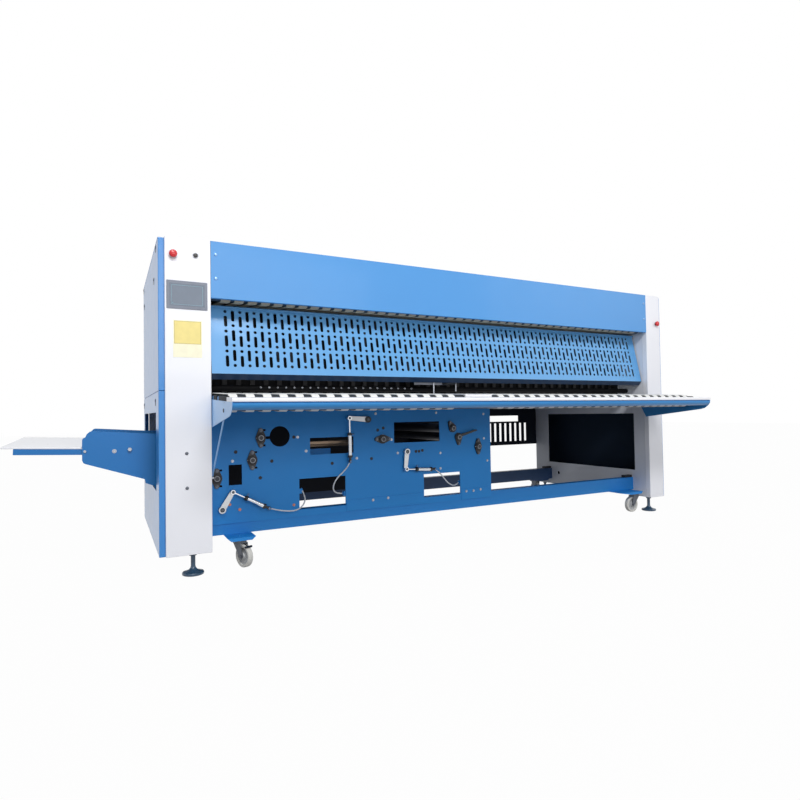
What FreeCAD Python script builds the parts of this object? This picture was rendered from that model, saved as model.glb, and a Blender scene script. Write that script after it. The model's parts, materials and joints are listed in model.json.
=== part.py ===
import FreeCAD, Part
import math
import os
import re
import Sketcher

# Flatwork folding machine: a long cabinet on two white end columns, with an infeed belt table in
# front, a perforated guard under the header, a cross-fold section below and a delivery outlet on
# the left. Distances are in millimetres: x from the outer edge of the left column face, y from
# the plane of the column faces towards the back, z from the floor.

Vector = FreeCAD.Vector
doc = FreeCAD.newDocument("folding_machine")
sizes = doc.addObject("Spreadsheet::Sheet", "sizes")
aliases = []
nodes = []


# ---- the sheet of sizes, and how pieces are bound to it ----

def sheet(**named):
    """Add named sizes to the spreadsheet, one row each."""
    for alias, number in named.items():
        aliases.append(alias)
        row = len(aliases)
        sizes.set("A%d" % row, "'" + alias.replace("_", " "))
        sizes.set("B%d" % row, repr(number))
        sizes.setAlias("B%d" % row, alias)
    sizes.recompute()


def bound(text):
    """Turn the aliases in an expression into references to the sheet."""
    def refer(match):
        word = match.group()
        return "sizes." + word if word in aliases else word
    return re.sub(r"[a-z][a-z_]*", refer, str(text))


def size(alias):
    """Read one size from the sheet."""
    return float(getattr(sizes, alias))


MACHINE = ("west", "front", "0")
LOCAL = ("0", "0", "0")
TURNS = {
    "z": FreeCAD.Rotation(),
    "x": FreeCAD.Rotation(Vector(0, 1, 0), 90),
    "y": FreeCAD.Rotation(Vector(1, 0, 0), -90),
}


def place(thing, x, y, z, frame=MACHINE, turn=None):
    """Bind a placement to the sheet, measured in the machine's frame or a local one."""
    if turn is not None:
        thing.Placement = FreeCAD.Placement(Vector(), turn)
    for letter, datum, distance in zip("xyz", frame, (x, y, z)):
        thing.setExpression("Placement.Base." + letter, bound("%s + (%s)" % (datum, distance)))
    return thing


def box(xs, ys, zs, frame=MACHINE):
    """A block between pairs of planes."""
    block = doc.addObject("Part::Box", "block")
    for prop, (low, high) in zip(("Length", "Width", "Height"), (xs, ys, zs)):
        block.setExpression(prop, bound("(%s) - (%s)" % (high, low)))
    return place(block, xs[0], ys[0], zs[0], frame)


def rod(radius, axis, across, span, frame=MACHINE):
    """A round bar along one axis; across gives its other two coordinates in x, y, z order."""
    bar = doc.addObject("Part::Cylinder", "bar")
    bar.setExpression("Radius", bound(radius))
    bar.setExpression("Height", bound("(%s) - (%s)" % (span[1], span[0])))
    where = list(across)
    where.insert("xyz".index(axis), span[0])
    return place(bar, *where, frame=frame, turn=TURNS[axis])


def fuse(*pieces):
    """Join pieces into one solid."""
    joined = doc.addObject("Part::MultiFuse", "joined")
    joined.Shapes = list(pieces)
    joined.Refine = True
    return joined


def cut(body, *tools):
    """Take the tools away from a body."""
    tool = tools[0]
    if len(tools) > 1:
        tool = doc.addObject("Part::Compound", "tools")
        tool.Links = list(tools)
    trimmed = doc.addObject("Part::Cut", "trimmed")
    trimmed.Base = body
    trimmed.Tool = tool
    return trimmed


def together(*pieces):
    """Keep separate solids as one group."""
    bunch = doc.addObject("Part::Compound", "bunch")
    bunch.Links = list(pieces)
    return bunch


def outline(sketch, points):
    """Draw a closed outline whose corners are bound to the sheet."""
    count = len(points)
    for index in range(count):
        after = (index + 1) % count
        start = Vector(10 * math.cos(6.28 * index / count), 10 * math.sin(6.28 * index / count), 0)
        end = Vector(10 * math.cos(6.28 * after / count), 10 * math.sin(6.28 * after / count), 0)
        sketch.addGeometry(Part.LineSegment(start, end), False)
    for index in range(count):
        sketch.addConstraint(Sketcher.Constraint("Coincident", index, 2, (index + 1) % count, 1))
    for index, point in enumerate(points):
        for kind, axis_line, text in zip(("DistanceX", "DistanceY"), (-2, -1), point):
            if str(text) == "0":
                sketch.addConstraint(Sketcher.Constraint("PointOnObject", index, 1, axis_line))
                continue
            number = sketch.addConstraint(Sketcher.Constraint(kind, -1, 1, index, 1, 1.0))
            name = "%s_%s" % (kind[-1].lower(), chr(97 + index))
            sketch.renameConstraint(number, name)
            sketch.setExpression("Constraints." + name, bound(text))


def plane_sketch(body, role):
    """A new sketch on one of the body's own origin planes."""
    plane = [feature for feature in body.Origin.OriginFeatures if feature.Role == role][0]
    sketch = body.newObject("Sketcher::SketchObject", "sketch")
    sketch.AttachmentSupport = [(plane, "")]
    sketch.MapMode = "FlatFace"
    return sketch


def plate(axis, points, span, frame=MACHINE, turn=None, home=None):
    """A flat piece: an outline in the plane across an axis, padded along it over a span."""
    body = doc.addObject("PartDesign::Body", "plate")
    sketch = plane_sketch(body, {"x": "YZ_Plane", "y": "XZ_Plane", "z": "XY_Plane"}[axis])
    outline(sketch, points)
    pad = body.newObject("PartDesign::Pad", "pad")
    pad.Profile = sketch
    pad.Reversed = axis == "y"
    pad.setExpression("Length", bound("(%s) - (%s)" % (span[1], span[0])))
    if home is not None:
        return place(body, *home, frame=frame, turn=turn)
    where = ["0", "0", "0"]
    where["xyz".index(axis)] = span[0]
    return place(body, *where, frame=frame, turn=turn)


def turned(points, where, axis="z", frame=MACHINE):
    """A lathe-turned piece: an outline of radius and height, revolved about an axis."""
    body = doc.addObject("PartDesign::Body", "turned")
    sketch = plane_sketch(body, "XZ_Plane")
    outline(sketch, points)
    spin = body.newObject("PartDesign::Revolution", "spin")
    spin.Profile = sketch
    spin.ReferenceAxis = (sketch, ["V_Axis"])
    spin.Angle = 360
    return place(body, *where, frame=frame, turn=TURNS[axis])


def made(shape, frame=MACHINE):
    """A piece whose shape is worked out here from the sheet, in the given frame."""
    feature = doc.addObject("Part::Feature", "made")
    feature.Shape = shape
    return place(feature, "0", "0", "0", frame)


def node(name, thing):
    """Name a finished piece."""
    thing.Label = name
    nodes.append(thing)
    return thing


# ---- overall sizes ----

sheet(west=-1539.69, front=-403.66,
      body_length=3770.0, left_face=225.0, right_face=160.0, body_top=1755.0, underside=115.0,
      body_depth=1345.0, tray_depth=40.0, gauge=2.5, side_overhang=30.0, side_setback=20.0,
      frame_gauge=8.0, frame_top=1742.0, frame_front=48.0, frame_back=1336.0, frame_flange=6.0,
      flange_gap=3.0, cover_top=1748.0, fit=0.05, seam_gap=1.0)
inner_left = "left_face"
inner_right = "body_length - right_face"
ALONG = (inner_left, inner_right)


# ---- rollers carried by the end frames ----

sheet(rear_roller_y=75.0, rear_roller_z=908.0, roller_radius=40.0, journal_radius=15.0,
      top_roller_y=72.0, top_roller_z=1478.0, top_roller_radius=28.0, top_journal=12.0,
      fold_roller_y=700.0, fold_roller_z=1560.0, journal_reach=17.0, roller_inset=14.0,
      far_inset=30.0, shell_wall=3.0, end_disc=8.0)
END_ROLLERS = {
    "infeed_rear_roller": ("rear_roller_y", "rear_roller_z", "roller_radius", "journal_radius"),
    "upper_front_roller": ("top_roller_y", "top_roller_z", "top_roller_radius", "top_journal"),
    "fold_roller": ("fold_roller_y", "fold_roller_z", "top_roller_radius", "top_journal"),
}


def shaft_roller(length, radius, journal, near, far=None):
    """The outline of a hollow roller with a stub shaft at each end, from one end to the other."""
    far = "%s - %s" % (length, far or near)
    wall = "(%s - shell_wall)" % radius
    return [("0", "0"), (journal, "0"), (journal, near), (radius, near), (radius, far),
            (journal, far), (journal, length), ("0", length),
            ("0", "%s - end_disc" % far), (wall, "%s - end_disc" % far),
            (wall, "%s + end_disc" % near), ("0", "%s + end_disc" % near)]


for name, (y, z, radius, journal) in END_ROLLERS.items():
    length = "body_length - right_face - left_face + 2 * frame_gauge + 2 * journal_reach"
    near = "(frame_gauge + journal_reach + roller_inset)"
    far = "(frame_gauge + journal_reach + far_inset)"
    start = "left_face - frame_gauge - journal_reach"
    node(name, turned(shaft_roller("(%s)" % length, radius, journal, near, far),
                      (start, y, z), "x"))


# ---- end frames: inner plate, floor plate and two flanges welded into one channel ----

sheet(outlet_front=300.0, outlet_back=1120.0, outlet_low=560.0, outlet_high=850.0,
      window_front=144.0, window_back=1165.0, window_low=326.0, window_high=795.0,
      access_hole_y=1034.0, access_hole_z=227.0, access_hole_radius=17.0,
      guard_pivot_y=136.7, guard_pivot_z=1433.4, guard_pin_radius=6.0,
      foot_front_y=61.5, foot_rear_y=1280.0, foot_left_x=136.0, foot_right_x=3660.0,
      foot_stud_radius=12.0, saddle_y=62.0, saddle_z=506.0, stay_radius=4.0, saddle_reach=18.0,
      saddle_half=11.0, saddle_drop=6.0, saddle_gauge=8.0)


def end_frame(plate_xs, flange_xs, window, foot_x):
    """One end frame, with its bores for the rollers, the guard and the feet."""
    low = "underside"
    channel = fuse(
        box(plate_xs, ("frame_front", "frame_back"), (low, "frame_top")),
        box(flange_xs, ("frame_front", "frame_back"), (low, "underside + frame_flange")),
        box(flange_xs, ("frame_front - frame_flange", "frame_front"), (low, "frame_top")),
        box(flange_xs, ("frame_back", "frame_back + frame_flange"), (low, "frame_top")))
    through = ("%s - 1" % plate_xs[0], "%s + 1" % plate_xs[1])
    bores = [rod("%s + fit" % journal, "x", (y, z), through)
             for y, z, _, journal in END_ROLLERS.values()]
    bores.append(rod("guard_pin_radius + fit", "x", ("guard_pivot_y", "guard_pivot_z"), through))
    for foot_y in ("foot_front_y", "foot_rear_y"):
        bores.append(rod("foot_stud_radius + fit", "z", (foot_x, foot_y),
                         ("underside - 1", "underside + frame_flange + 1")))
    bores.append(box(through, window[0], window[1]))
    return channel, bores


channel, bores = end_frame(
    ("left_face - frame_gauge", "left_face"), ("flange_gap", "left_face"),
    (("outlet_front", "outlet_back"), ("outlet_low", "outlet_high")), "foot_left_x")
saddle = box(("left_face - 1", "left_face + saddle_reach"),
             ("saddle_y - saddle_half", "saddle_y + saddle_half"),
             ("saddle_z - saddle_drop - saddle_gauge", "saddle_z - saddle_drop"))
sheet(gland_x=80.0, inlet_x=140.0, gland_y=1150.0, gland_radius=14.0, inlet_radius=9.0,
      gland_drop=22.0, gland_nut=11.0)


def entry(x, radius):
    """A screwed entry under the floor plate: a nut and a narrower neck below it."""
    nut = rod(radius, "z", (x, "gland_y"), ("underside - gland_nut", "underside + 1"))
    neck = rod("0.7 * " + radius, "z", (x, "gland_y"), ("underside - gland_drop", "underside + 1"))
    return fuse(nut, neck)


node("left_end_frame", cut(
    fuse(channel, saddle, entry("gland_x", "gland_radius"), entry("inlet_x", "inlet_radius")),
    *bores))

plate_far = inner_right + " + frame_gauge"
channel, bores = end_frame(
    (inner_right, plate_far), (inner_right, "body_length - flange_gap"),
    (("window_front", "window_back"), ("window_low", "window_high")), "foot_right_x")
bores.append(rod("access_hole_radius", "x", ("access_hole_y", "access_hole_z"),
                 (inner_right + " - 1", plate_far + " + 1")))
node("right_end_frame", cut(channel, *bores))


# ---- column covers: white trays over the front of each end frame ----

sheet(screen_left=8.0, screen_right=208.0, screen_low=1381.0, screen_high=1527.0,
      screen_lip=4.0, screen_proud=5.0, screen_body=34.0, button_bore=11.15,
      stop_left_x=40.0, stop_left_z=1661.0, start_x=150.0, start_z=1666.0,
      stop_right_x=3725.0, stop_right_z=1526.0)


def tray(xs, ys, zs):
    """A tray of sheet metal, open to the back."""
    shell = box(xs, ys, zs)
    hollow = box((xs[0] + " + gauge", xs[1] + " - gauge"), (ys[0] + " + gauge", ys[1] + " + 1"),
                 (zs[0] + " + gauge", zs[1] + " - gauge"))
    return shell, hollow


FACE = ("-1", "gauge + 1")
shell, hollow = tray(("0", "left_face"), ("0", "tray_depth"), ("underside", "body_top"))
node("left_column_cover", cut(
    shell, hollow,
    box(("screen_left + screen_lip", "screen_right - screen_lip"), FACE,
        ("screen_low + screen_lip", "screen_high - screen_lip")),
    rod("button_bore", "y", ("stop_left_x", "stop_left_z"), FACE),
    rod("button_bore", "y", ("start_x", "start_z"), FACE)))
shell, hollow = tray((inner_right, "body_length"), ("0", "tray_depth"), ("underside", "body_top"))
node("right_column_cover", cut(
    shell, hollow, rod("button_bore", "y", ("stop_right_x", "stop_right_z"), FACE)))


# ---- operator screen and push buttons ----

screen_hole = ("screen_left + screen_lip + 1", "screen_right - screen_lip - 1")
screen_rows = ("screen_low + screen_lip + 1", "screen_high - screen_lip - 1")
node("operator_screen", fuse(
    box(("screen_left", "screen_right"), ("-screen_proud", "0"), ("screen_low", "screen_high")),
    box(screen_hole, ("0", "screen_body"), screen_rows)))

sheet(stop_radius=20.0, stop_height=16.0, stop_gap=10.0, stem_radius=8.0, stem_length=30.0,
      start_radius=12.0, start_height=6.0, start_gap=3.0, collar_depth=4.0)
STOP = [("0", "0"), ("stem_radius", "0"), ("stem_radius", "stem_length"),
        ("0.7 * stop_radius", "stem_length + 1"), ("stop_radius", "stem_length + 5"),
        ("stop_radius", "stem_length + 0.6 * stop_height"),
        ("0.7 * stop_radius", "stem_length + stop_height"), ("0", "stem_length + stop_height")]
START = [("0", "0"), ("stem_radius", "0"), ("stem_radius", "stem_length"),
         ("start_radius", "stem_length"), ("start_radius", "stem_length + 0.7 * start_height"),
         ("0.8 * start_radius", "stem_length + start_height"),
         ("0", "stem_length + start_height")]
FORWARD = FreeCAD.Rotation(Vector(1, 0, 0), 90)


def button(points, x, z, gap):
    """A push button whose stem passes through the cover, facing forwards."""
    body = turned(points, (x, "stem_length - %s" % gap, z))
    return place(body, x, "stem_length - %s" % gap, z, turn=FORWARD)


node("stop_button_left", button(STOP, "stop_left_x", "stop_left_z", "stop_gap"))
node("stop_button_right", button(STOP, "stop_right_x", "stop_right_z", "stop_gap"))
node("start_button", button(START, "start_x", "start_z", "start_gap"))


# ---- blue covers of the cabinet ----

sheet(split_z=958.0, split_gap=2.0, hatch_front=193.0, hatch_back=1232.0, hatch_low=430.0,
      hatch_high=850.0, header_bottom=1450.0, header_depth=60.0, header_lip=18.0, roof_low=1749.5,
      roof_front=42.0, back_low=960.0)
LEFT_SIDE = ("-side_overhang", "0")
SIDE_DEPTH = ("side_setback", "body_depth")


def side_tray(xs, open_xs, zs):
    """A side cover: a sheet whose four edges are turned in towards the machine."""
    shell = box(xs, SIDE_DEPTH, zs)
    hollow = box(open_xs, ("side_setback + gauge", "body_depth - gauge"),
                 (zs[0] + " + gauge", zs[1] + " - gauge"))
    return shell, hollow


LEFT_OPEN = ("gauge - side_overhang", "1")
shell, hollow = side_tray(LEFT_SIDE, LEFT_OPEN, ("split_z + split_gap", "cover_top"))
node("left_upper_cover", cut(shell, hollow))
shell, hollow = side_tray(LEFT_SIDE, LEFT_OPEN, ("underside", "split_z"))
hatch = box(("-side_overhang - 1", "gauge - side_overhang + 1"), ("hatch_front", "hatch_back"),
            ("hatch_low", "hatch_high"))
node("left_lower_cover", cut(shell, hollow, hatch))
shell, hollow = side_tray(("body_length", "body_length + side_overhang"),
                          ("body_length - 1", "body_length + side_overhang - gauge"),
                          ("underside", "cover_top"))
node("right_side_cover", cut(shell, hollow))

header_xs = (inner_left + " + seam_gap", inner_right + " - seam_gap")
shell = box(header_xs, ("0", "header_depth"), ("header_bottom", "body_top"))
header_through = (header_xs[0] + " - 1", header_xs[1] + " + 1")
hollow = box(header_through, ("gauge", "header_depth + 1"),
             ("header_bottom + gauge", "body_top - gauge"))
open_behind_lip = box(header_through, ("header_lip", "header_depth + 1"),
                      ("header_bottom - 1", "header_bottom + gauge + 1"))
node("header_cover", cut(shell, hollow, open_behind_lip))

node("top_rear_cover", fuse(
    box(("-side_overhang", "body_length + side_overhang"), ("roof_front", "body_depth"),
        ("roof_low", "roof_low + gauge")),
    box(header_xs, ("body_depth - gauge", "body_depth"), ("back_low", "roof_low"))))


# ---- base beams with the caster mounts welded under them ----

sheet(beam_front=166.0, beam_width=60.0, beam_low=165.0, beam_height=100.0, beam_wall=4.0,
      rear_beam_y=1121.0, mount_low=147.0, mount_half=56.0, mount_steep=20.0, mount_slope=120.0,
      caster_left_x=385.0, caster_right_x=3525.0, caster_front_y=90.0, caster_rear_y=1236.0,
      kingpin_radius=8.0, mount_front=42.0, mount_rear=1295.0, right_mount_shift=-28.0)


def beam(y):
    """A rectangular tube between the end frames."""
    ys = (y, y + " + beam_width")
    outer = box(ALONG, ys, ("beam_low", "beam_low + beam_height"))
    core = box((ALONG[0] + " - 1", ALONG[1] + " + 1"), (y + " + beam_wall", ys[1] + " - beam_wall"),
               ("beam_low + beam_wall", "beam_low + beam_height - beam_wall"))
    return cut(outer, core)


def caster_mount(x, ys, inner_slope):
    """A mount block under a beam, with sloping ends."""
    return plate("y", [("%s - mount_half" % x, "mount_low"), ("%s + mount_half" % x, "mount_low"),
                       ("%s + mount_half + mount_steep" % x, "beam_low"),
                       ("%s - mount_half - %s" % (x, inner_slope), "beam_low")], ys)


MOUNT_HEIGHT = ("mount_low - 1", "beam_low + 1")
front_mount = ("mount_front", "beam_front + beam_width")
rear_mount = ("rear_beam_y", "mount_rear")
right_mount_x = "caster_right_x + right_mount_shift"
front_base = cut(
    fuse(beam("beam_front"), caster_mount("caster_left_x", front_mount, "mount_steep"),
         caster_mount(right_mount_x, front_mount, "mount_slope")),
    rod("kingpin_radius + fit", "z", ("caster_left_x", "caster_front_y"), MOUNT_HEIGHT),
    rod("kingpin_radius + fit", "z", ("caster_right_x", "caster_front_y"), MOUNT_HEIGHT))
rear_base = fuse(beam("rear_beam_y"), caster_mount("caster_left_x", rear_mount, "mount_steep"),
                 caster_mount(right_mount_x, rear_mount, "mount_slope"))
node("base_beams", together(front_base, rear_base))


# ---- cross-fold section: two plates that stand on the beams ----

sheet(fold_front_y=160.0, fold_gauge=6.0, fold_rear_y=1115.0, fold_right=2147.0, fold_low=225.0,
      fold_top=870.0, cross_radius=33.0, cross_journal=12.0,
      round_hole_x=631.0, round_hole_z=702.0, round_hole_radius=60.0,
      small_left=339.0, small_right=412.0, small_low=437.0, small_high=551.0,
      middle_left=814.0, middle_right=1096.0, middle_low=585.0, middle_high=686.0,
      low_left=745.0, low_right=1039.0, low_high=446.0,
      right_left=1380.0, right_right=1725.0, right_low=634.0, right_high=768.0,
      fourth_left=1597.0, fourth_right=1885.0, fourth_high=418.0,
      slide_reach=30.0, slide_half=5.5, slide_start=2.0, neck_half=8.0,
      pin_radius=4.0, crank_shaft=8.0)
sheet(one_x=518.0, one_z=697.0, two_x=469.0, two_z=572.0, three_x=274.0, three_z=480.0,
      four_x=1295.0, four_z=663.0, five_x=1827.0, five_z=719.0, six_x=1874.0, six_z=657.0,
      seven_x=2037.0, seven_z=586.0)
# each roller's bearing: the angle of its flange, and whether the flange has one ear or two
CROSS_ROLLERS = {"one": (90, 2), "two": (90, 2), "three": (90, 2), "four": (0, 2),
                 "five": (120, 1), "six": (-90, 1), "seven": (90, 2)}
beam_top = "beam_low + beam_height"
WINDOWS = [
    (("small_left", "small_right"), ("small_low", "small_high")),
    (("middle_left", "middle_right"), ("middle_low", "middle_high")),
    (("low_left", "low_right"), (beam_top, "low_high")),
    (("right_left", "right_right"), ("right_low", "right_high")),
    (("fourth_left", "fourth_right"), (beam_top, "fourth_high")),
]

# three air cylinders: x and z of the crank shaft, of the crank pin and of the tail pin
sheet(shaft_one_x=300.0, shaft_one_z=307.0, crank_one_x=356.0, crank_one_z=402.0,
      tail_one_x=556.0, tail_one_z=296.0,
      shaft_two_x=1188.0, shaft_two_z=790.0, crank_two_x=1058.0, crank_two_z=801.0,
      tail_two_x=1060.0, tail_two_z=535.0,
      shaft_three_x=1464.0, shaft_three_z=576.0, crank_three_x=1452.0, crank_three_z=464.0,
      tail_three_x=1664.0, tail_three_z=452.0)
CYLINDERS = ("one", "two", "three")

# air hoses: each runs from the fitting on a cylinder's tail to a fitting on a block that is
# screwed to the back of the front plate
HOSE_ROUTES = {
    "one": [(568, 127, 292.2), (604, 121, 281), (655, 117, 272), (704, 119, 268),
            (748, 130, 282), (778, 154, 312), (782, 174, 342), (770, 184, 372)],
    "two": [(1052.8, 126.9, 524.5), (1036, 122, 500), (1004, 118, 472), (968, 117, 442),
            (946, 122, 404), (950, 140, 366), (980, 162, 342), (1022, 180, 336)],
    "three": [(1674, 127, 444), (1704, 121, 420), (1730, 118, 386), (1762, 119, 352),
              (1800, 128, 334), (1842, 148, 332), (1878, 176, 342)],
}
sheet(block_width=36.0, block_half=14.0, block_depth=26.0, fitting_radius=6.0,
      fitting_length=16.0, fitting_overlap=8.0)


def fold_plate(low_y, high_y, low_z, windows, extra):
    """One cross-fold plate with its windows and the holes for the roller shafts."""
    sheet_metal = box((inner_left, "fold_right"), (low_y, high_y), (low_z, "fold_top"))
    through = ("%s - 1" % low_y, "%s + 1" % high_y)
    holes = [box(xs, through, zs) for xs, zs in windows]
    for key in CROSS_ROLLERS:
        holes.append(rod("cross_journal + fit", "y", (key + "_x", key + "_z"), through))
    return cut(sheet_metal, *(holes + extra(through)))


def front_holes(through):
    """The round hand hole, the bearings' tension slots and the crank shafts' bores."""
    holes = [rod("round_hole_radius", "y", ("round_hole_x", "round_hole_z"), through),
             box(("one_x", "round_hole_x"), through, ("one_z - neck_half", "one_z + neck_half"))]
    for key in ("one", "two", "three"):
        for sign in ("-", "+"):
            middle = "%s_z %s bolt_pitch" % (key, sign)
            holes.append(box(("%s_x + slide_start" % key, "%s_x + slide_reach" % key), through,
                             (middle + " - slide_half", middle + " + slide_half")))
    for key in CYLINDERS:
        holes.append(rod("crank_shaft + fit", "y",
                         ("shaft_%s_x" % key, "shaft_%s_z" % key), through))
    return holes


sheet(stud_front=112.0, bolt_pitch=44.0)
front_sheet = fold_plate("fold_front_y", "fold_front_y + fold_gauge", "fold_low", WINDOWS,
                         front_holes)
studs = [rod("pin_radius", "y", ("tail_%s_x" % key, "tail_%s_z" % key),
             ("stud_front", "fold_front_y + 1")) for key in CYLINDERS]
blocks = []
for route in HOSE_ROUTES.values():
    end = Vector(*route[-1])
    onward = (end - Vector(*route[-2])).normalize()
    side = math.copysign(1, onward.x)
    face_x = end.x + side * size("fitting_overlap")
    edges = sorted((face_x, face_x + side * size("block_width")))
    blocks.append(box(edges, ("fold_front_y + fold_gauge",
                              "fold_front_y + fold_gauge + block_depth"),
                      ("%s - block_half" % end.z, "%s + block_half" % end.z)))
    blocks.append(made(Part.makeCylinder(size("fitting_radius"), size("fitting_length"), end,
                                         onward)))
node("fold_plate_front", fuse(front_sheet, *(studs + blocks)))
node("fold_plate_rear", fold_plate("fold_rear_y", "fold_rear_y + fold_gauge", "fold_low", [],
                                   lambda through: []))


# ---- cross-fold rollers and their flanged bearings ----

sheet(shaft_front=136.0, shaft_rear=1145.0, roll_front=176.0, bearing_gauge=10.0,
      bearing_reach=24.0, bearing_hub=27.0, bearing_half=60.0, bearing_round=15.0)
shaft_length = "(shaft_rear - shaft_front)"
for key in CROSS_ROLLERS:
    reach = "(roll_front - shaft_front)"
    points = shaft_roller(shaft_length, "cross_radius", "cross_journal", reach)
    node("cross_roller_" + key,
         turned(points, (key + "_x", "shaft_front", key + "_z"), "y"))


def flange_bearing(bore, ears):
    """A flanged bearing at the origin with one or two bolt ears, its hub along -Y."""
    flange = size("bearing_gauge")
    hub = size("bearing_hub")
    half = size("bearing_half")
    end = size("bearing_round")
    reach = size("bearing_reach")
    back = Part.makeCylinder(hub, flange, Vector(), Vector(0, -1, 0))
    tangent = math.acos((hub - end) / (half - end))
    across = Vector(math.cos(tangent), 0, math.sin(tangent))
    for sign in (1, -1)[:ears]:
        centre = Vector(sign * (half - end), 0, 0)
        out = Vector(sign * across.x, 0, across.z)
        low = Vector(out.x, 0, -out.z)
        corners = [out * hub, centre + out * end, centre + low * end, low * hub]
        web = Part.Face(Part.makePolygon(corners + [corners[0]])).extrude(Vector(0, -flange, 0))
        back = back.fuse([web, Part.makeCylinder(end, flange, centre, Vector(0, -1, 0))])
    nose = Part.makeCylinder(0.8 * hub, reach, Vector(), Vector(0, -1, 0))
    hole = Part.makeCylinder(bore, reach + 2, Vector(0, 1, 0), Vector(0, -1, 0))
    return back.fuse(nose).cut(hole).removeSplitter()


bearings = []
for key, (angle, ears) in CROSS_ROLLERS.items():
    for y, flip in ((size("fold_front_y"), 0), (size("fold_rear_y") + size("fold_gauge"), 180)):
        bearing = flange_bearing(size("cross_journal") + size("fit"), ears)
        bearing.rotate(Vector(), Vector(0, 1, 0), flip - angle if flip == 0 else angle - 180)
        bearing.rotate(Vector(), Vector(0, 0, 1), flip)
        bearing.translate(Vector(size(key + "_x"), y, size(key + "_z")))
        bearings.append(bearing)
node("bearing_housings", made(Part.makeCompound(bearings)))


# ---- air cylinders, their rods and the crank arms that they turn ----

sheet(air_y=129.0, tube_radius=12.0, cap_radius=15.0, cap_length=14.0, rod_radius=5.0,
      eye_radius=10.0, eye_half=7.0, tail_length=24.0, body_share=0.56, rod_bore=5.05,
      arm_front=140.0, arm_back=150.0, hub_front=134.0, hub_radius=20.0, arm_end=13.0, hose_gap=0.4,
      crank_front=116.0, crank_depth=190.0, open_eye=13.0, open_bore=8.0)


def joint_point(kind, key):
    """A pivot of one air cylinder, in the plane of the cylinders."""
    return Vector(size("%s_%s_x" % (kind, key)), size("air_y"), size("%s_%s_z" % (kind, key)))


def eye(centre, radius, bore):
    """A round eye about a pin along Y."""
    half = size("eye_half")
    base = centre - Vector(0, half, 0)
    ring = Part.makeCylinder(radius, 2 * half, base, Vector(0, 1, 0))
    return ring, Part.makeCylinder(bore, 2 * half + 2, base - Vector(0, 1, 0), Vector(0, 1, 0))


for key in CYLINDERS:
    tail = joint_point("tail", key)
    pin = joint_point("crank", key)
    hub = joint_point("shaft", key)
    along = (pin - tail).normalize()
    span = (pin - tail).Length
    body_end = size("tail_length") + size("body_share") * span
    ring, hole = eye(tail, size("eye_radius"), size("pin_radius") + size("fit"))
    neck = Part.makeCylinder(0.5 * size("cap_radius"), size("tail_length"), tail, along)
    tube = Part.makeCylinder(size("tube_radius"), body_end - size("tail_length"),
                             tail + along * size("tail_length"), along)
    rear_cap = Part.makeCylinder(size("cap_radius"), size("cap_length"),
                                 tail + along * size("tail_length"), along)
    head = Part.makeCylinder(size("cap_radius"), size("cap_length"),
                             tail + along * (body_end - size("cap_length")), along)
    bore_depth = body_end - size("tail_length") - size("cap_length")
    bore = Part.makeCylinder(size("rod_bore"), bore_depth + 1,
                             tail + along * (body_end - bore_depth), along)
    outlet = Vector(*HOSE_ROUTES[key][0]) - tail
    fitting = Part.makeCylinder(size("fitting_radius"), outlet.Length - size("hose_gap"), tail,
                                outlet)
    cylinder = ring.fuse([neck, tube, rear_cap, head, fitting]).cut(hole).cut(bore)
    cylinder = cylinder.removeSplitter()
    node("air_cylinder_" + key, made(cylinder))

    ring, hole = eye(pin, size("open_eye"), size("open_bore"))
    inside = 0.55 * bore_depth
    stem = Part.makeCylinder(size("rod_radius"), span - body_end + inside,
                             tail + along * (body_end - inside), along)
    node("cylinder_rod_" + key, made(ring.fuse(stem).cut(hole).removeSplitter()))

    front, back = size("arm_front"), size("arm_back")
    flat = (pin - hub).normalize()
    side = Vector(flat.z, 0, -flat.x)
    reach = (pin - hub).Length
    low = Vector(0, front - size("air_y"), 0)
    corners = [hub + low + side * size("hub_radius") * 0.8,
               pin + low + side * size("arm_end"),
               pin + low - side * size("arm_end"),
               hub + low - side * size("hub_radius") * 0.8]
    blade = Part.Face(Part.makePolygon(corners + [corners[0]])).extrude(Vector(0, back - front, 0))
    hub_ring = Part.makeCylinder(size("hub_radius"), size("fold_front_y") - 1 - size("hub_front"),
                                 Vector(hub.x, size("hub_front"), hub.z), Vector(0, 1, 0))
    shaft = Part.makeCylinder(size("crank_shaft"), size("crank_depth") - size("hub_front") + 2,
                              Vector(hub.x, size("hub_front") - 2, hub.z), Vector(0, 1, 0))
    tip = Part.makeCylinder(size("arm_end"), back - front, pin + low, Vector(0, 1, 0))
    stub = Part.makeCylinder(size("pin_radius"), front - size("crank_front"),
                             Vector(pin.x, size("crank_front"), pin.z), Vector(0, 1, 0))
    arm = blade.fuse([hub_ring, shaft, tip, stub]).removeSplitter()
    node("crank_arm_" + key, made(arm))


# ---- air hoses ----

sheet(hose_radius=4.0)


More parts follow.
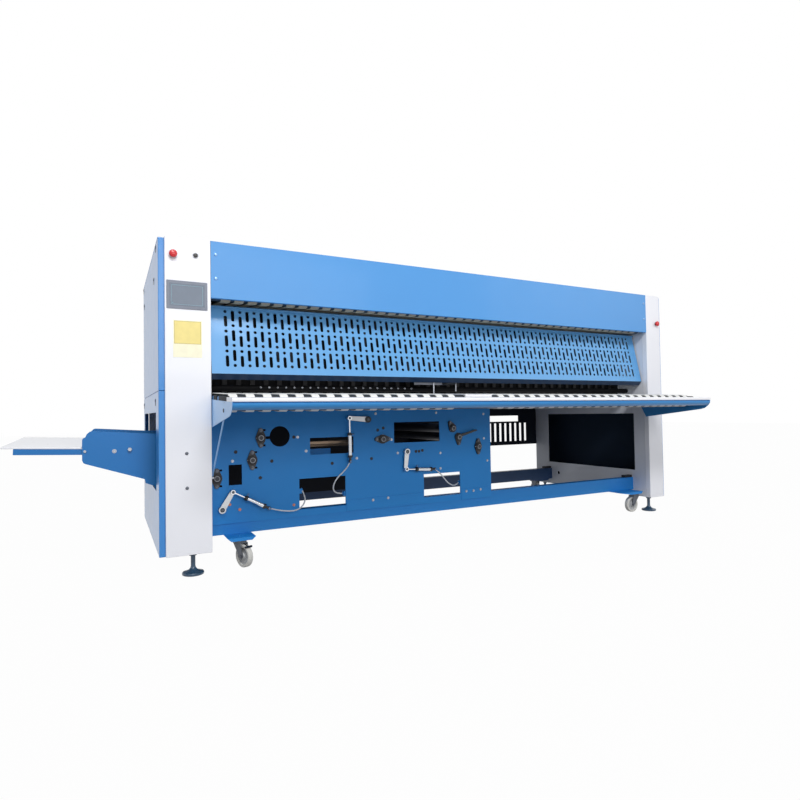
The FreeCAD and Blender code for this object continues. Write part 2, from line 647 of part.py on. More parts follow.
def hose(points, radius):
    """A tube on straight runs and tangent arcs through the points of a route."""
    corners = [Vector(*point) for point in points]
    edges = []
    reached = corners[0]
    for before, corner, after in zip(corners, corners[1:], corners[2:]):
        incoming = (corner - before).normalize()
        outgoing = (after - corner).normalize()
        half_turn = 0.5 * incoming.getAngle(outgoing)
        shorter = min((corner - before).Length, (after - corner).Length)
        bend = 0.45 * shorter / math.tan(half_turn)
        step = 0.45 * shorter
        inward = (outgoing - incoming).normalize()
        start = corner - incoming * step
        end = corner + outgoing * step
        middle = corner + inward * (bend / math.cos(half_turn) - bend)
        edges.append(Part.LineSegment(reached, start).toShape())
        edges.append(Part.Arc(start, middle, end).toShape())
        print("hose bend radius %.0f mm, turn %.0f degrees" % (bend, math.degrees(2 * half_turn)))
        reached = end
    edges.append(Part.LineSegment(reached, corners[-1]).toShape())
    path = Part.Wire(edges)
    circle = Part.makeCircle(radius, corners[0], corners[1] - corners[0])
    tube = path.makePipeShell([Part.Wire([circle])], True, False)
    print("hose volume %.0f, section times length %.0f"
          % (tube.Volume, math.pi * radius ** 2 * path.Length))
    return tube


for key, route in HOSE_ROUTES.items():
    node("air_hose_" + key, made(hose(route, size("hose_radius"))))


# ---- perforated guard: a sloped panel that hangs from its top edge ----

sheet(guard_left=236.0, guard_right=3600.0, guard_tilt=12.7,
      guard_gauge=3.0, guard_height=388.0, guard_return=40.0, lip_droop=36.0, guard_bar_radius=7.0,
      column_pitch=40.0, row_pitch=116.0, columns=81.0, rows=3.0, first_column=85.0,
      slot_width=18.0, slot_length=65.0, low_edge=40.0, even_lift=33.0, dot_lift=90.0,
      dot_even=8.0)


def pierced_panel():
    """The flat panel with its rows of slots and dots, standing in the XZ plane."""
    width = size("guard_right") - size("guard_left")
    height = size("guard_height")
    half = 0.5 * size("slot_width")
    wires = [Part.makePolygon([Vector(0, 0, 0), Vector(width, 0, 0), Vector(width, 0, height),
                               Vector(0, 0, height), Vector(0, 0, 0)])]

    def slot(x, low, high):
        left, right = x - half, x + half
        arc_low = Part.Arc(Vector(left, 0, low + half), Vector(x, 0, low),
                           Vector(right, 0, low + half)).toShape()
        arc_high = Part.Arc(Vector(right, 0, high - half), Vector(x, 0, high),
                            Vector(left, 0, high - half)).toShape()
        side_right = Part.LineSegment(Vector(right, 0, low + half),
                                      Vector(right, 0, high - half)).toShape()
        side_left = Part.LineSegment(Vector(left, 0, high - half),
                                     Vector(left, 0, low + half)).toShape()
        return Part.Wire([arc_low, side_right, arc_high, side_left])

    def dot(x, z):
        return Part.Wire([Part.makeCircle(half, Vector(x, 0, z), Vector(0, 1, 0))])

    for column in range(int(size("columns"))):
        x = size("first_column") + column * size("column_pitch")
        for row in range(int(size("rows"))):
            base = size("low_edge") + row * size("row_pitch")
            lift = size("even_lift") if column % 2 else 0
            wires.append(slot(x, base + lift, base + lift + size("slot_length")))
            dot_z = size("dot_even") if column % 2 else size("dot_lift")
            wires.append(dot(x, base + dot_z))
    face = Part.makeFace(wires, "Part::FaceMakerCheese")
    return face.extrude(Vector(0, size("guard_gauge"), 0))


panel = pierced_panel()
width = size("guard_right") - size("guard_left")
lip = Part.makeBox(width, size("guard_return"), size("guard_gauge"))
lip.rotate(Vector(), Vector(1, 0, 0), -size("lip_droop"))
bar = Part.makeCylinder(size("guard_bar_radius"), width, Vector(0, 0, size("guard_height")),
                        Vector(1, 0, 0))
pin_start = size("left_face") - size("frame_gauge") - size("guard_left")
pin_end = size("body_length") - size("right_face") + size("frame_gauge") - size("guard_left")
pins = Part.makeCylinder(size("guard_pin_radius"), pin_end - pin_start,
                         Vector(pin_start, 0, size("guard_height")), Vector(1, 0, 0))
guard = panel.fuse([lip, bar, pins])
guard.translate(Vector(0, 0, -size("guard_height")))
guard = node("guard_panel", made(Part.makeCompound([guard])))
place(guard, "guard_left", "guard_pivot_y", "guard_pivot_z",
      turn=FreeCAD.Rotation(Vector(1, 0, 0), -size("guard_tilt")))


# ---- infeed table, drawn level about its rear roller and then set to its slope ----

sheet(table_slope=2.9, table_left=228.0, table_right=3592.0, table_front=-612.0, rail_back=-572.0,
      rail_low=-29.0, rail_high=9.0, board_high=29.0, board_back=-478.0, rim_width=14.0,
      bed_low=29.0, bed_high=34.0, bed_front=-392.0, bed_rear=-34.0, gusset_gauge=3.0,
      nose_roller=-426.0, nose_journal=5.0, stay_pin_u=-408.0, stay_pin_w=-36.0,
      tube_half=25.0, tube_low=-21.0, tube_one=-90.0, tube_two=-240.0, rail_wall=3.0,
      bridge_left=1560.0, bridge_right=1760.0, bridge_low=41.0, bridge_front=-462.0,
      stay_pin_reach=11.0)
TABLE = ("west", "front + rear_roller_y", "rear_roller_z")


def table_piece(thing):
    """Set a finished piece of the table to its slope about the rear roller's axis."""
    slope = FreeCAD.Rotation(Vector(1, 0, 0), size("table_slope"))
    return place(thing, "0", "0", "0", frame=TABLE, turn=slope)


GUSSET = [("table_front", "rail_high"), ("table_front + 12", "rail_low + 4"),
          ("table_front + 40", "rail_low - 20"), ("table_front + 69", "rail_low - 29"),
          ("-75", "-137"), ("-28", "-60"), ("24", "-30"), ("26", "6"), ("18", "22"),
          ("0", "28"), ("-18", "22"), ("-28", "rail_high")]


def gusset(xs):
    """A side gusset of the table, with its bores."""
    sheet_metal = plate("x", GUSSET, xs, frame=LOCAL)
    through = ("%s - 1" % xs[0], "%s + 1" % xs[1])
    return cut(sheet_metal,
               rod("journal_radius + fit", "x", ("0", "0"), through, LOCAL),
               rod("nose_journal + fit", "x", ("nose_roller", "0"), through, LOCAL))


left_gusset = ("table_left", "table_left + gusset_gauge")
right_gusset = ("table_right - gusset_gauge", "table_right")
inside = (left_gusset[1], right_gusset[0])
rail = cut(box(inside, ("table_front", "rail_back"), ("rail_low", "rail_high"), LOCAL),
           box((inside[0] + " - 1", inside[1] + " + 1"),
               ("table_front + rail_wall", "rail_back - rail_wall"),
               ("rail_low + rail_wall", "rail_high - rail_wall"), LOCAL))
tubes = []
for u in ("tube_one", "tube_two"):
    outer = box(inside, (u + " - tube_half", u + " + tube_half"), ("tube_low", "bed_low"), LOCAL)
    core = box((inside[0] + " - 1", inside[1] + " + 1"),
               (u + " - tube_half + rail_wall", u + " + tube_half - rail_wall"),
               ("tube_low + rail_wall", "bed_low - rail_wall"), LOCAL)
    tubes.append(cut(outer, core))
stay_pin = rod("stay_radius + 1", "x", ("stay_pin_u", "stay_pin_w"),
               (left_gusset[0], left_gusset[1] + " + stay_pin_reach"), LOCAL)
node("infeed_frame", table_piece(
    fuse(gusset(left_gusset), gusset(right_gusset), rail, stay_pin, *tubes)))

rim_span = ("board_back", "-roller_radius - 4")
notches = [box(("table_left - 1", "table_right + 1"),
               (u + " - tube_half - fit", u + " + tube_half + fit"),
               ("rail_high - 1", "bed_low"), LOCAL) for u in ("tube_one", "tube_two")]
node("infeed_bed", table_piece(cut(fuse(
    box(("table_left", "table_right"), ("table_front", "board_back"),
        ("rail_high", "board_high"), LOCAL),
    box(("table_left", "table_left + rim_width"), rim_span, ("rail_high", "bed_high"), LOCAL),
    box(("table_right - rim_width", "table_right"), rim_span, ("rail_high", "bed_high"), LOCAL),
    box(("table_left", "table_right"), ("bed_front", "bed_rear"), ("bed_low", "bed_high"), LOCAL),
    box(("bridge_left", "bridge_right"), ("bridge_front", "bed_rear - 6"),
        ("bridge_low", "bridge_low + 3"), LOCAL),
    box(("bridge_left", "bridge_right"), ("bed_front + 4", "bed_rear - 6"),
        ("bed_high", "bridge_low"), LOCAL)), *notches)))

nose_length = "(table_right - table_left)"
nose = turned(shaft_roller(nose_length, "roller_radius", "nose_journal",
                           "(gusset_gauge + roller_inset)"), ("0", "0", "0"), "x", LOCAL)
slope_turn = FreeCAD.Rotation(Vector(1, 0, 0), size("table_slope")).multiply(TURNS["x"])
node("infeed_nose_roller", place(
    nose, "table_left", "nose_roller * cos(table_slope * 1deg)",
    "nose_roller * sin(table_slope * 1deg)", frame=TABLE, turn=slope_turn))


# ---- belts: flat loops of canvas round two rollers ----

sheet(belt_gap=0.3, belt_thick=3.5, table_belt_width=40.0, table_belt_pitch=81.0,
      table_belt_first=262.0, table_belts=16.0, table_belt_second=1831.0, table_belts_right=22.0,
      top_belt_width=50.0, top_belt_pitch=72.6, top_belt_first=311.0, top_belts=45.0,
      out_belt_width=60.0, out_belt_pitch=105.0, out_belt_first=360.0, out_belts=7.0,
      out_roller_x=-154.0, out_roller_z=655.0)


def belt(start, end, radius, thick, width, axis):
    """One belt loop round two rollers of the same radius, its width along an axis."""
    run = (end - start).normalize()
    up = axis.cross(run)

    def loop(grip):
        edges = [
            Part.LineSegment(start + up * grip, end + up * grip).toShape(),
            Part.Arc(end + up * grip, end + run * grip, end - up * grip).toShape(),
            Part.LineSegment(end - up * grip, start - up * grip).toShape(),
            Part.Arc(start - up * grip, start - run * grip, start + up * grip).toShape(),
        ]
        return Part.Face(Part.Wire(edges)).extrude(axis * width)

    return loop(radius + thick).cut(loop(radius))


along_x = Vector(1, 0, 0)
along_y = Vector(0, 1, 0)
slope = math.radians(size("table_slope"))
hinge = Vector(0, size("rear_roller_y"), size("rear_roller_z"))
nose_axis = hinge + Vector(0, math.cos(slope), math.sin(slope)) * size("nose_roller")
starts = [size("table_belt_first") + size("table_belt_pitch") * index
          for index in range(int(size("table_belts")))]
starts += [size("table_belt_second") + size("table_belt_pitch") * index
           for index in range(int(size("table_belts_right")))]
grip = size("roller_radius") + size("belt_gap")
loops = []
for x in starts:
    edge = Vector(x - 0.5 * size("table_belt_width"), 0, 0)
    loops.append(belt(hinge + edge, nose_axis + edge, grip, size("belt_thick"),
                      size("table_belt_width"), along_x))
node("infeed_belts", made(Part.makeCompound(loops)))

top_axis = Vector(0, size("top_roller_y"), size("top_roller_z"))
fold_axis = Vector(0, size("fold_roller_y"), size("fold_roller_z"))
grip = size("top_roller_radius") + size("belt_gap")
loops = []
for index in range(int(size("top_belts"))):
    x = size("top_belt_first") + size("top_belt_pitch") * index - 0.5 * size("top_belt_width")
    loops.append(belt(top_axis + Vector(x, 0, 0), fold_axis + Vector(x, 0, 0), grip,
                      size("belt_thick"), size("top_belt_width"), along_x))
node("upper_belts", made(Part.makeCompound(loops)))

inner_axis = Vector(size("one_x"), 0, size("one_z"))
outer_axis = Vector(size("out_roller_x"), 0, size("out_roller_z"))
grip = size("cross_radius") + size("belt_gap")
loops = []
for index in range(int(size("out_belts"))):
    edge = Vector(0, size("out_belt_first") + size("out_belt_pitch") * index
                  - 0.5 * size("out_belt_width"), 0)
    loops.append(belt(outer_axis + edge, inner_axis + edge, grip, size("belt_thick"),
                      size("out_belt_width"), along_y))
node("outfeed_belts", made(Part.makeCompound(loops)))


# ---- stay that props the table at its left end ----

sheet(stay_eye=9.0, stay_plane=236.6, stay_half=3.5)
pin = hinge + Vector(0, math.cos(slope), math.sin(slope)) * size("stay_pin_u")
pin += Vector(0, -math.sin(slope), math.cos(slope)) * size("stay_pin_w")
foot = Vector(0, size("saddle_y"), size("saddle_z"))
pin.x = foot.x = size("stay_plane")
half = size("stay_half")
ring = Part.makeCylinder(size("stay_eye"), 2 * half, pin - along_x * half, along_x)
hole = Part.makeCylinder(size("stay_radius") + 1 + size("fit"), 2 * half + 2,
                         pin - along_x * (half + 1), along_x)
bar = Part.makeCylinder(size("stay_radius"), (foot - pin).Length, pin, foot - pin)
node("table_stay", made(ring.fuse(bar).cut(hole)))


# ---- delivery outlet on the left: two brackets, a roller and a fold-up slab ----

sheet(bracket_front=280.0, bracket_rear=1140.0, bracket_gauge=4.0, tie_x=-228.0, tie_z=648.0,
      tie_drop=60.0, tie_radius=10.0, out_journal=10.0, slab_pivot_x=-364.0, slab_pivot_z=652.0,
      slab_pin=7.0, slab_tilt=2.5)
BRACKET = [("left_face - frame_gauge", "733"), ("-30", "735"), ("-330", "757"), ("-342", "755"),
           ("-356", "742"), ("-362", "727"), ("-374", "720"), ("-377", "712"), ("-377", "606"),
           ("-371", "592"), ("-360", "586"), ("-82", "490"), ("-77", "468"),
           ("-33", "450"), ("-31", "434"),
           ("left_face - frame_gauge", "434")]


def bracket(y):
    """One bracket plate with its bores."""
    ys = (y, y + " + bracket_gauge")
    through = (ys[0] + " - 1", ys[1] + " + 1")
    return cut(plate("y", BRACKET, ys),
               rod("out_journal + fit", "y", ("out_roller_x", "out_roller_z"), through),
               rod("slab_pin + fit", "y", ("slab_pivot_x", "slab_pivot_z"), through))


tie = rod("tie_radius", "y", ("tie_x", "tie_z - tie_drop"),
          ("bracket_front", "bracket_rear + bracket_gauge"))
node("outfeed_brackets", fuse(bracket("bracket_front"), bracket("bracket_rear"), tie))

sheet(out_overhang=8.0)
points = shaft_roller("(bracket_rear - bracket_front + bracket_gauge + 2 * out_overhang)",
                      "cross_radius", "out_journal", "(bracket_gauge + out_overhang + 6)")
node("outfeed_roller", turned(points, ("out_roller_x", "bracket_front - out_overhang",
                                       "out_roller_z"), "y"))

sheet(slab_outer=-363.5, slab_inner=-17.0, slab_low=12.0, slab_gauge=10.0, slab_front=291.0,
      slab_back=1132.0, slab_rise=24.0, slab_beam=30.0, slab_beam_low=-18.0,
      slab_beam_outer=-312.0, slab_arm=12.0, slab_inset=2.0, pin_overhang=6.0)
SLAB = ("west + slab_pivot_x", "front", "slab_pivot_z")
board = plate("x", [("slab_front", "slab_low"), ("slab_back", "slab_low + slab_rise"),
                    ("slab_back", "slab_low + slab_rise + slab_gauge"),
                    ("slab_front", "slab_low + slab_gauge")],
              ("slab_outer", "slab_inner"), frame=LOCAL)
rear_beam_front = "slab_back - slab_inset - slab_beam"
slope_of_slab = "slab_rise / (slab_back - slab_front)"


def slab_beam(xs, ys):
    """A level beam under the board, cut to the board's fall towards the front."""
    tops = ["slab_low + (%s - slab_front) * %s" % (y, slope_of_slab) for y in ys]
    return plate("x", [(ys[0], "slab_beam_low"), (ys[1], "slab_beam_low"),
                       (ys[1], tops[1]), (ys[0], tops[0])], xs, frame=LOCAL)


pivot_pin = rod("slab_pin", "y", ("0", "0"),
                ("bracket_front - pin_overhang", "bracket_rear + bracket_gauge + pin_overhang"),
                LOCAL)
slab = fuse(
    board, pivot_pin,
    slab_beam(("slab_beam_outer", "slab_arm"),
              ("slab_front + slab_inset", "slab_front + slab_inset + slab_beam")),
    slab_beam(("slab_beam_outer", "slab_arm"), (rear_beam_front, "slab_back - slab_inset")),
    slab_beam(("slab_beam_outer", "slab_beam_outer + slab_beam"),
              ("slab_front + slab_inset", "slab_back - slab_inset")))
tilt = FreeCAD.Rotation(Vector(0, 1, 0), size("slab_tilt"))
node("delivery_slab", place(slab, "0", "0", "0", frame=SLAB, turn=tilt))


# ---- levelling feet ----

sheet(foot_radius=55.0, foot_edge=12.0, foot_round=4.0, foot_neck=16.0, foot_bell=36.0,
      foot_reach=60.0, nut_radius=19.0, nut_height=10.0)
FOOT = [("0", "0"), ("foot_radius - foot_round", "0"), ("foot_radius", "foot_round"),
        ("foot_radius", "foot_edge"), ("foot_radius - foot_round", "foot_edge + foot_round"),
        ("0.6 * foot_radius", "foot_edge + 1.6 * foot_round"),
        ("0.38 * foot_radius", "foot_bell - 8"), ("foot_neck", "foot_bell"),
        ("foot_neck", "underside - nut_height - 6"),
        ("nut_radius", "underside - nut_height - 4"), ("nut_radius", "underside - 2"),
        ("foot_stud_radius", "underside - 2"), ("foot_stud_radius", "underside + foot_reach"),
        ("0", "underside + foot_reach")]
feet = []
for x in ("foot_left_x", "foot_right_x"):
    for y in ("foot_front_y", "foot_rear_y"):
        feet.append(turned(FOOT, (x, y, "0")))
node("levelling_feet", together(*feet))


# ---- casters ----

sheet(wheel_radius=61.5, wheel_clear=1.0, tread_half=15.0, wheel_hub=20.0, hub_half=18.0,
      axle_radius=6.0, fork_half=20.0, fork_gauge=4.0, disc_radius=34.0, disc_low=133.0,
      kingpin_top=160.0, trail=36.0, crown_low=127.0, fork_foot=16.0)
WHEEL = [("axle_radius + fit", "-hub_half"), ("wheel_hub", "-hub_half"),
         ("wheel_hub + 4", "-0.5 * tread_half"), ("0.72 * wheel_radius", "-0.5 * tread_half"),
         ("0.8 * wheel_radius", "-tread_half"), ("wheel_radius - 4", "-tread_half"),
         ("wheel_radius", "4 - tread_half"), ("wheel_radius", "tread_half - 4"),
         ("wheel_radius - 4", "tread_half"), ("0.8 * wheel_radius", "tread_half"),
         ("0.72 * wheel_radius", "0.5 * tread_half"), ("wheel_hub + 4", "0.5 * tread_half"),
         ("wheel_hub", "hub_half"), ("axle_radius + fit", "hub_half")]
wheel_z = "wheel_radius + wheel_clear"


def cheek(axis, across, ends, frame=MACHINE):
    """One side plate of a fork, from the crown down to the axle."""
    top, low, middle = across
    points = [("%s - disc_radius" % top, "disc_low"), ("%s + disc_radius" % top, "disc_low"),
              ("%s + fork_foot" % low, middle), (low, middle + " - fork_foot"),
              ("%s - fork_foot" % low, middle)]
    return plate(axis, points, ends, frame=frame)


CHEEKS = (("-fork_half - fork_gauge", "-fork_half"), ("fork_half", "fork_half + fork_gauge"))
AXLE = ("-fork_half - fork_gauge - 5", "fork_half + fork_gauge + 5")


def swivel_fork(kingpin, angle):
    """A swivelling fork with its kingpin and axle, trailing at an angle from +X."""
    cheeks = [cheek("y", ("0", "trail", wheel_z), ends, LOCAL) for ends in CHEEKS]
    crown = box(("-disc_radius", "disc_radius"),
                ("-fork_half - fork_gauge", "fork_half + fork_gauge"),
                ("crown_low", "disc_low"), LOCAL)
    disc = rod("disc_radius", "z", ("0", "0"), ("disc_low", "mount_low - 1"), LOCAL)
    axle = rod("axle_radius", "y", ("trail", wheel_z), AXLE, LOCAL)
    pin = rod("kingpin_radius", "z", ("0", "0"), ("disc_low", "kingpin_top"), LOCAL)
    whole_fork = fuse(crown, disc, axle, pin, *cheeks)
    turn = FreeCAD.Rotation(Vector(0, 0, 1), angle)
    return place(whole_fork, kingpin[0], kingpin[1], "0", turn=turn)


def swivel_wheel(kingpin, angle):
    """The wheel of a swivelling caster, about its axle."""
    whole_wheel = turned(WHEEL, ("0", "0", "0"), "y", LOCAL)
    turn = FreeCAD.Rotation(Vector(0, 0, 1), angle).multiply(TURNS["y"])
    return place(whole_wheel, "%s + trail * cos(%d deg)" % (kingpin[0], angle),
                 "%s + trail * sin(%d deg)" % (kingpin[1], angle), wheel_z, turn=turn)


LEFT_TRAIL, RIGHT_TRAIL = -66, 180
SWIVELS = {"left": (("caster_left_x", "caster_front_y"), LEFT_TRAIL),
           "right": (("caster_right_x", "caster_front_y"), RIGHT_TRAIL)}
for side, (kingpin, angle) in SWIVELS.items():
    node("caster_fork_" + side, swivel_fork(kingpin, angle))
    node("caster_wheel_" + side, swivel_wheel(kingpin, angle))


def fixed_caster(x, y):
    """A fixed fork and its wheel, whose axle lies along X."""
    cheeks = [cheek("x", (y, y, wheel_z), ("%s + %s" % (x, low), "%s + %s" % (x, high)))
              for low, high in CHEEKS]
    foot_plate = box(("%s - fork_half - fork_gauge - 12" % x, "%s + fork_half + fork_gauge + 12" % x),
                     ("%s - disc_radius - 8" % y, "%s + disc_radius + 8" % y),
                     ("disc_low", "mount_low"))
    axle = rod("axle_radius", "x", (y, wheel_z), ("%s + %s" % (x, AXLE[0]), "%s + %s" % (x, AXLE[1])))
    return fuse(foot_plate, axle, *cheeks), turned(WHEEL, (x, y, wheel_z), "x")


rear_casters = [fixed_caster(x, "caster_rear_y") for x in ("caster_left_x", right_mount_x)]
node("rear_caster_forks", together(*[rear_fork for rear_fork, _ in rear_casters]))
node("rear_caster_wheels", together(*[rear_wheel for _, rear_wheel in rear_casters]))


# ---- rear grille, drive motor and screws ----

sheet(grille_left=2340.0, grille_gauge=3.0, grille_low=497.0, grille_high=1000.0, bar_pitch=62.0,
      bar_gap=25.0, bar_low=534.0, bar_high=712.0, gap_low=729.0, gap_high=786.0, gap_right=3379.0,
      bars=18.0, bar_first=2399.0)
grille_back = "body_depth - gauge"
through = (grille_back + " - grille_gauge - 1", grille_back + " + 1")
openings = [box(("bar_first", "gap_right"), through, ("gap_low", "gap_high"))]
for index in range(int(size("bars"))):
    start = "bar_first + %d * bar_pitch" % index
    openings.append(box((start, start + " + bar_gap"), through, ("bar_low", "bar_high")))
grille = box(("grille_left", inner_right), (grille_back + " - grille_gauge", grille_back),
             ("grille_low", "grille_high"))
node("rear_grille", cut(grille, *openings))

sheet(motor_offset=60.0, motor_y=620.0, motor_z=920.0, gear_width=60.0, gear_half=55.0,
      motor_radius=52.0, motor_length=170.0, fan_length=44.0, pulley_radius=40.0,
      pulley_width=26.0)
gearbox = box((plate_far, plate_far + " + gear_width"),
              ("motor_y - gear_half", "motor_y + gear_half"),
              ("motor_z - gear_half", "motor_z + gear_half"))
motor_axis = (plate_far + " + motor_offset", "motor_z")
motor_end = "motor_y + gear_half + motor_length"
motor = rod("motor_radius", "y", motor_axis, ("motor_y + gear_half - 1", motor_end))
fan_cover = rod("motor_radius + 3", "y", motor_axis, (motor_end + " - fan_length", motor_end))
pulley = rod("pulley_radius", "x", ("motor_y", "motor_z"),
             (plate_far + " + gear_width - 1", plate_far + " + gear_width + pulley_width"))
node("drive_motor", fuse(gearbox, motor, fan_cover, pulley))

sheet(screw_radius=7.5, screw_height=4.0, latch_radius=14.0, latch_height=6.0,
      bolt_radius=9.0, bolt_height=6.0)
SCREWS_FRONT = [(252, 1684), (252, 1556), (3583, 1684), (3583, 1556), (101, 636), (102, 458)]
SCREWS_SIDE = [(165, 1724), (302, 1580), (1300, 1724), (1242, 1603), (1300, 906), (223, 905)]


def head(corners, radius, height, foot, toward):
    """A screw head or latch with flat sides, standing on a face."""
    up = Vector(0, 0, 1)
    across = up.cross(toward)
    ring = []
    for index in range(corners):
        angle = 2 * math.pi * (index + 0.5) / corners
        ring.append(foot + (across * math.cos(angle) + up * math.sin(angle)) * radius)
    return Part.Face(Part.makePolygon(ring + ring[:1])).extrude(toward * height)


FORWARD = Vector(0, -1, 0)
HEX, OCTAGON = 6, 8
screws = [head(HEX, size("screw_radius"), size("screw_height"), Vector(x, 0, z), FORWARD)
          for x, z in SCREWS_FRONT]
for y, z in SCREWS_SIDE:
    for x, out in ((-size("side_overhang"), -1), (size("body_length") + size("side_overhang"), 1)):
        screws.append(head(OCTAGON, size("latch_radius"), size("latch_height"), Vector(x, y, z),
                           Vector(out, 0, 0)))
for key, (angle, ears) in CROSS_ROLLERS.items():
    for sign in (1, -1)[:ears]:
        reach = sign * size("bolt_pitch")
        x = size(key + "_x") + reach * math.cos(math.radians(angle))
        z = size(key + "_z") + reach * math.sin(math.radians(angle))
        face = size("fold_front_y") - size("bearing_gauge")
        screws.append(head(HEX, size("bolt_radius"), size("bolt_height"), Vector(x, face, z),
                           FORWARD))
node("cover_screws", made(Part.makeCompound(screws)))


# ---- build, check and write ----

doc.recompute()
failed = [item.Label for item in doc.Objects
          if "Invalid" in item.State or "Error" in item.State]
if failed:
    raise RuntimeError("objects that failed: %s" % failed)
for piece in nodes:
    if piece.Shape.isNull() or not piece.Shape.isValid():
        raise RuntimeError("bad shape: %s" % piece.Label)

whole = FreeCAD.BoundBox()
os.makedirs("parts", exist_ok=True)
for piece in nodes:
    whole.add(piece.Shape.BoundBox)
    piece.Shape.exportStep(os.path.join("parts", piece.Label + ".step"))
print("nodes", len(nodes))
print("box x %.2f %.2f y %.2f %.2f z %.2f %.2f"
      % (whole.XMin, whole.XMax, whole.YMin, whole.YMax, whole.ZMin, whole.ZMax))
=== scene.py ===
import json
import math

import bmesh
import bpy
from mathutils import Matrix, Vector


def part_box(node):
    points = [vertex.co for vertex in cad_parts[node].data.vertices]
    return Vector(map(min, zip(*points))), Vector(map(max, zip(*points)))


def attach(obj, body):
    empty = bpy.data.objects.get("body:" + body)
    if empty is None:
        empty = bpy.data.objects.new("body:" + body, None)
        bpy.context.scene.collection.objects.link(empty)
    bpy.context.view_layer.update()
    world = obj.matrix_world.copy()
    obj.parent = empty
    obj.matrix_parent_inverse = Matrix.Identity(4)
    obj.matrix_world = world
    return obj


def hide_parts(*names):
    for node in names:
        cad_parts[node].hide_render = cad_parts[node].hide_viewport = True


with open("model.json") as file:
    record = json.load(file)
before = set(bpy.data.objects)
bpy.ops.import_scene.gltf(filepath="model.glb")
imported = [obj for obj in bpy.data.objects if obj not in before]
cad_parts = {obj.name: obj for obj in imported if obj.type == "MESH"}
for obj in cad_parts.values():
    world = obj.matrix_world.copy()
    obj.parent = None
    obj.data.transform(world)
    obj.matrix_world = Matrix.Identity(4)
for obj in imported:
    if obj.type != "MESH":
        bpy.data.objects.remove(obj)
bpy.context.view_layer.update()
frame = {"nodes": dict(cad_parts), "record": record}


# ---- room ----
# A pale floor, white surroundings and soft lamps. The camera stands in front of the left
# end of the machine, at the height of the infeed table, and looks along it.

datum = Vector((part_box("left_column_cover")[0].x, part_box("left_column_cover")[0].y, 0))
MM = 0.001


def at(x, y, z):
    """A point given in millimetres from the left column's outer edge, its face and the floor."""
    return datum + Vector((x, y, z)) * MM


def colour(red, green, blue):
    """A colour as it looks on a screen, from 0 to 255, in the linear values that light uses."""
    linear = [((part / 255 + 0.055) / 1.055) ** 2.4 for part in (red, green, blue)]
    return (*linear, 1)


def new_material(name):
    """A material with its principled shader, and the tree that they are in."""
    material = bpy.data.materials.new(name)
    material.use_nodes = True
    return material, material.node_tree, material.node_tree.nodes["Principled BSDF"]


def new_object(name, data):
    """An object in the scene."""
    made = bpy.data.objects.new(name, data)
    bpy.context.scene.collection.objects.link(made)
    return made


def reckon(tree, operation, first, second):
    """One step of arithmetic on a socket and another socket or a number."""
    step = tree.nodes.new("ShaderNodeMath")
    step.operation = operation
    tree.links.new(first, step.inputs[0])
    if isinstance(second, float):
        step.inputs[1].default_value = second
    else:
        tree.links.new(second, step.inputs[1])
    return step.outputs[0]


def white_for_rays(tree, shader, glow, strength):
    """Mix a shader with plain white light for what the camera and reflections see."""
    path = tree.nodes.new("ShaderNodeLightPath").outputs
    seen = reckon(tree, "MAXIMUM", path["Is Camera Ray"], path["Is Glossy Ray"])
    seen = reckon(tree, "MAXIMUM", seen, path["Is Transmission Ray"])
    share = reckon(tree, "MULTIPLY", seen, strength)
    glow.inputs["Color"].default_value = (1, 1, 1, 1)
    glow.inputs["Strength"].default_value = 1.0
    mix = tree.nodes.new("ShaderNodeMixShader")
    tree.links.new(share, mix.inputs[0])
    tree.links.new(shader.outputs[0], mix.inputs[1])
    tree.links.new(glow.outputs[0], mix.inputs[2])
    return mix


FLOOR_REACH = 30.0
FLOOR_GREY = (0.3, 0.3, 0.305, 1)
FLOOR_GLOW = 0.98
SKY_BLUE = (0.93, 0.96, 1.0, 1)
SKY_LIGHT = 0.24
floor_mesh = bpy.data.meshes.new("floor")
corners = [(-1, -1), (1, -1), (1, 1), (-1, 1)]
floor_mesh.from_pydata([(x * FLOOR_REACH, y * FLOOR_REACH, 0) for x, y in corners], [],
                       [(0, 1, 2, 3)])
floor = new_object("floor", floor_mesh)
floor_finish, tree, shader = new_material("floor_white")
shader.inputs["Base Color"].default_value = FLOOR_GREY
shader.inputs["Roughness"].default_value = 0.6
lit = white_for_rays(tree, shader, tree.nodes.new("ShaderNodeEmission"), FLOOR_GLOW)
tree.links.new(lit.outputs[0], tree.nodes["Material Output"].inputs["Surface"])
floor_mesh.materials.append(floor_finish)

world = bpy.data.worlds.new("surroundings")
bpy.context.scene.world = world
world.use_nodes = True
tree = world.node_tree
backdrop = tree.nodes["Background"]
backdrop.inputs["Color"].default_value = SKY_BLUE
backdrop.inputs["Strength"].default_value = SKY_LIGHT
lit = white_for_rays(tree, backdrop, tree.nodes.new("ShaderNodeBackground"), 1.0)
tree.links.new(lit.outputs[0], tree.nodes["World Output"].inputs["Surface"])


def lamp(name, place, aim, power, width, height):
    """A soft rectangular lamp aimed at a point."""
    light = bpy.data.lights.new(name, "AREA")
    light.shape = "RECTANGLE"
    light.size = width
    light.size_y = height
    light.energy = power
    lamp_object = new_object(name, light)
    lamp_object.location = place
    lamp_object.rotation_euler = (aim - place).to_track_quat("-Z", "Y").to_euler()


middle = at(1900, 100, 900)
lamp("key_lamp", at(300, -4600, 5200), middle, 238, 3.6, 0.9)
lamp("right_lamp", at(6200, -3600, 3200), middle, 48, 2.5, 2.5)
lamp("side_lamp", at(-4200, -600, 2400), middle, 30, 3.0, 2.5)
lamp("front_lamp", at(1300, -5200, 2300), middle, 84, 4.5, 1.8)

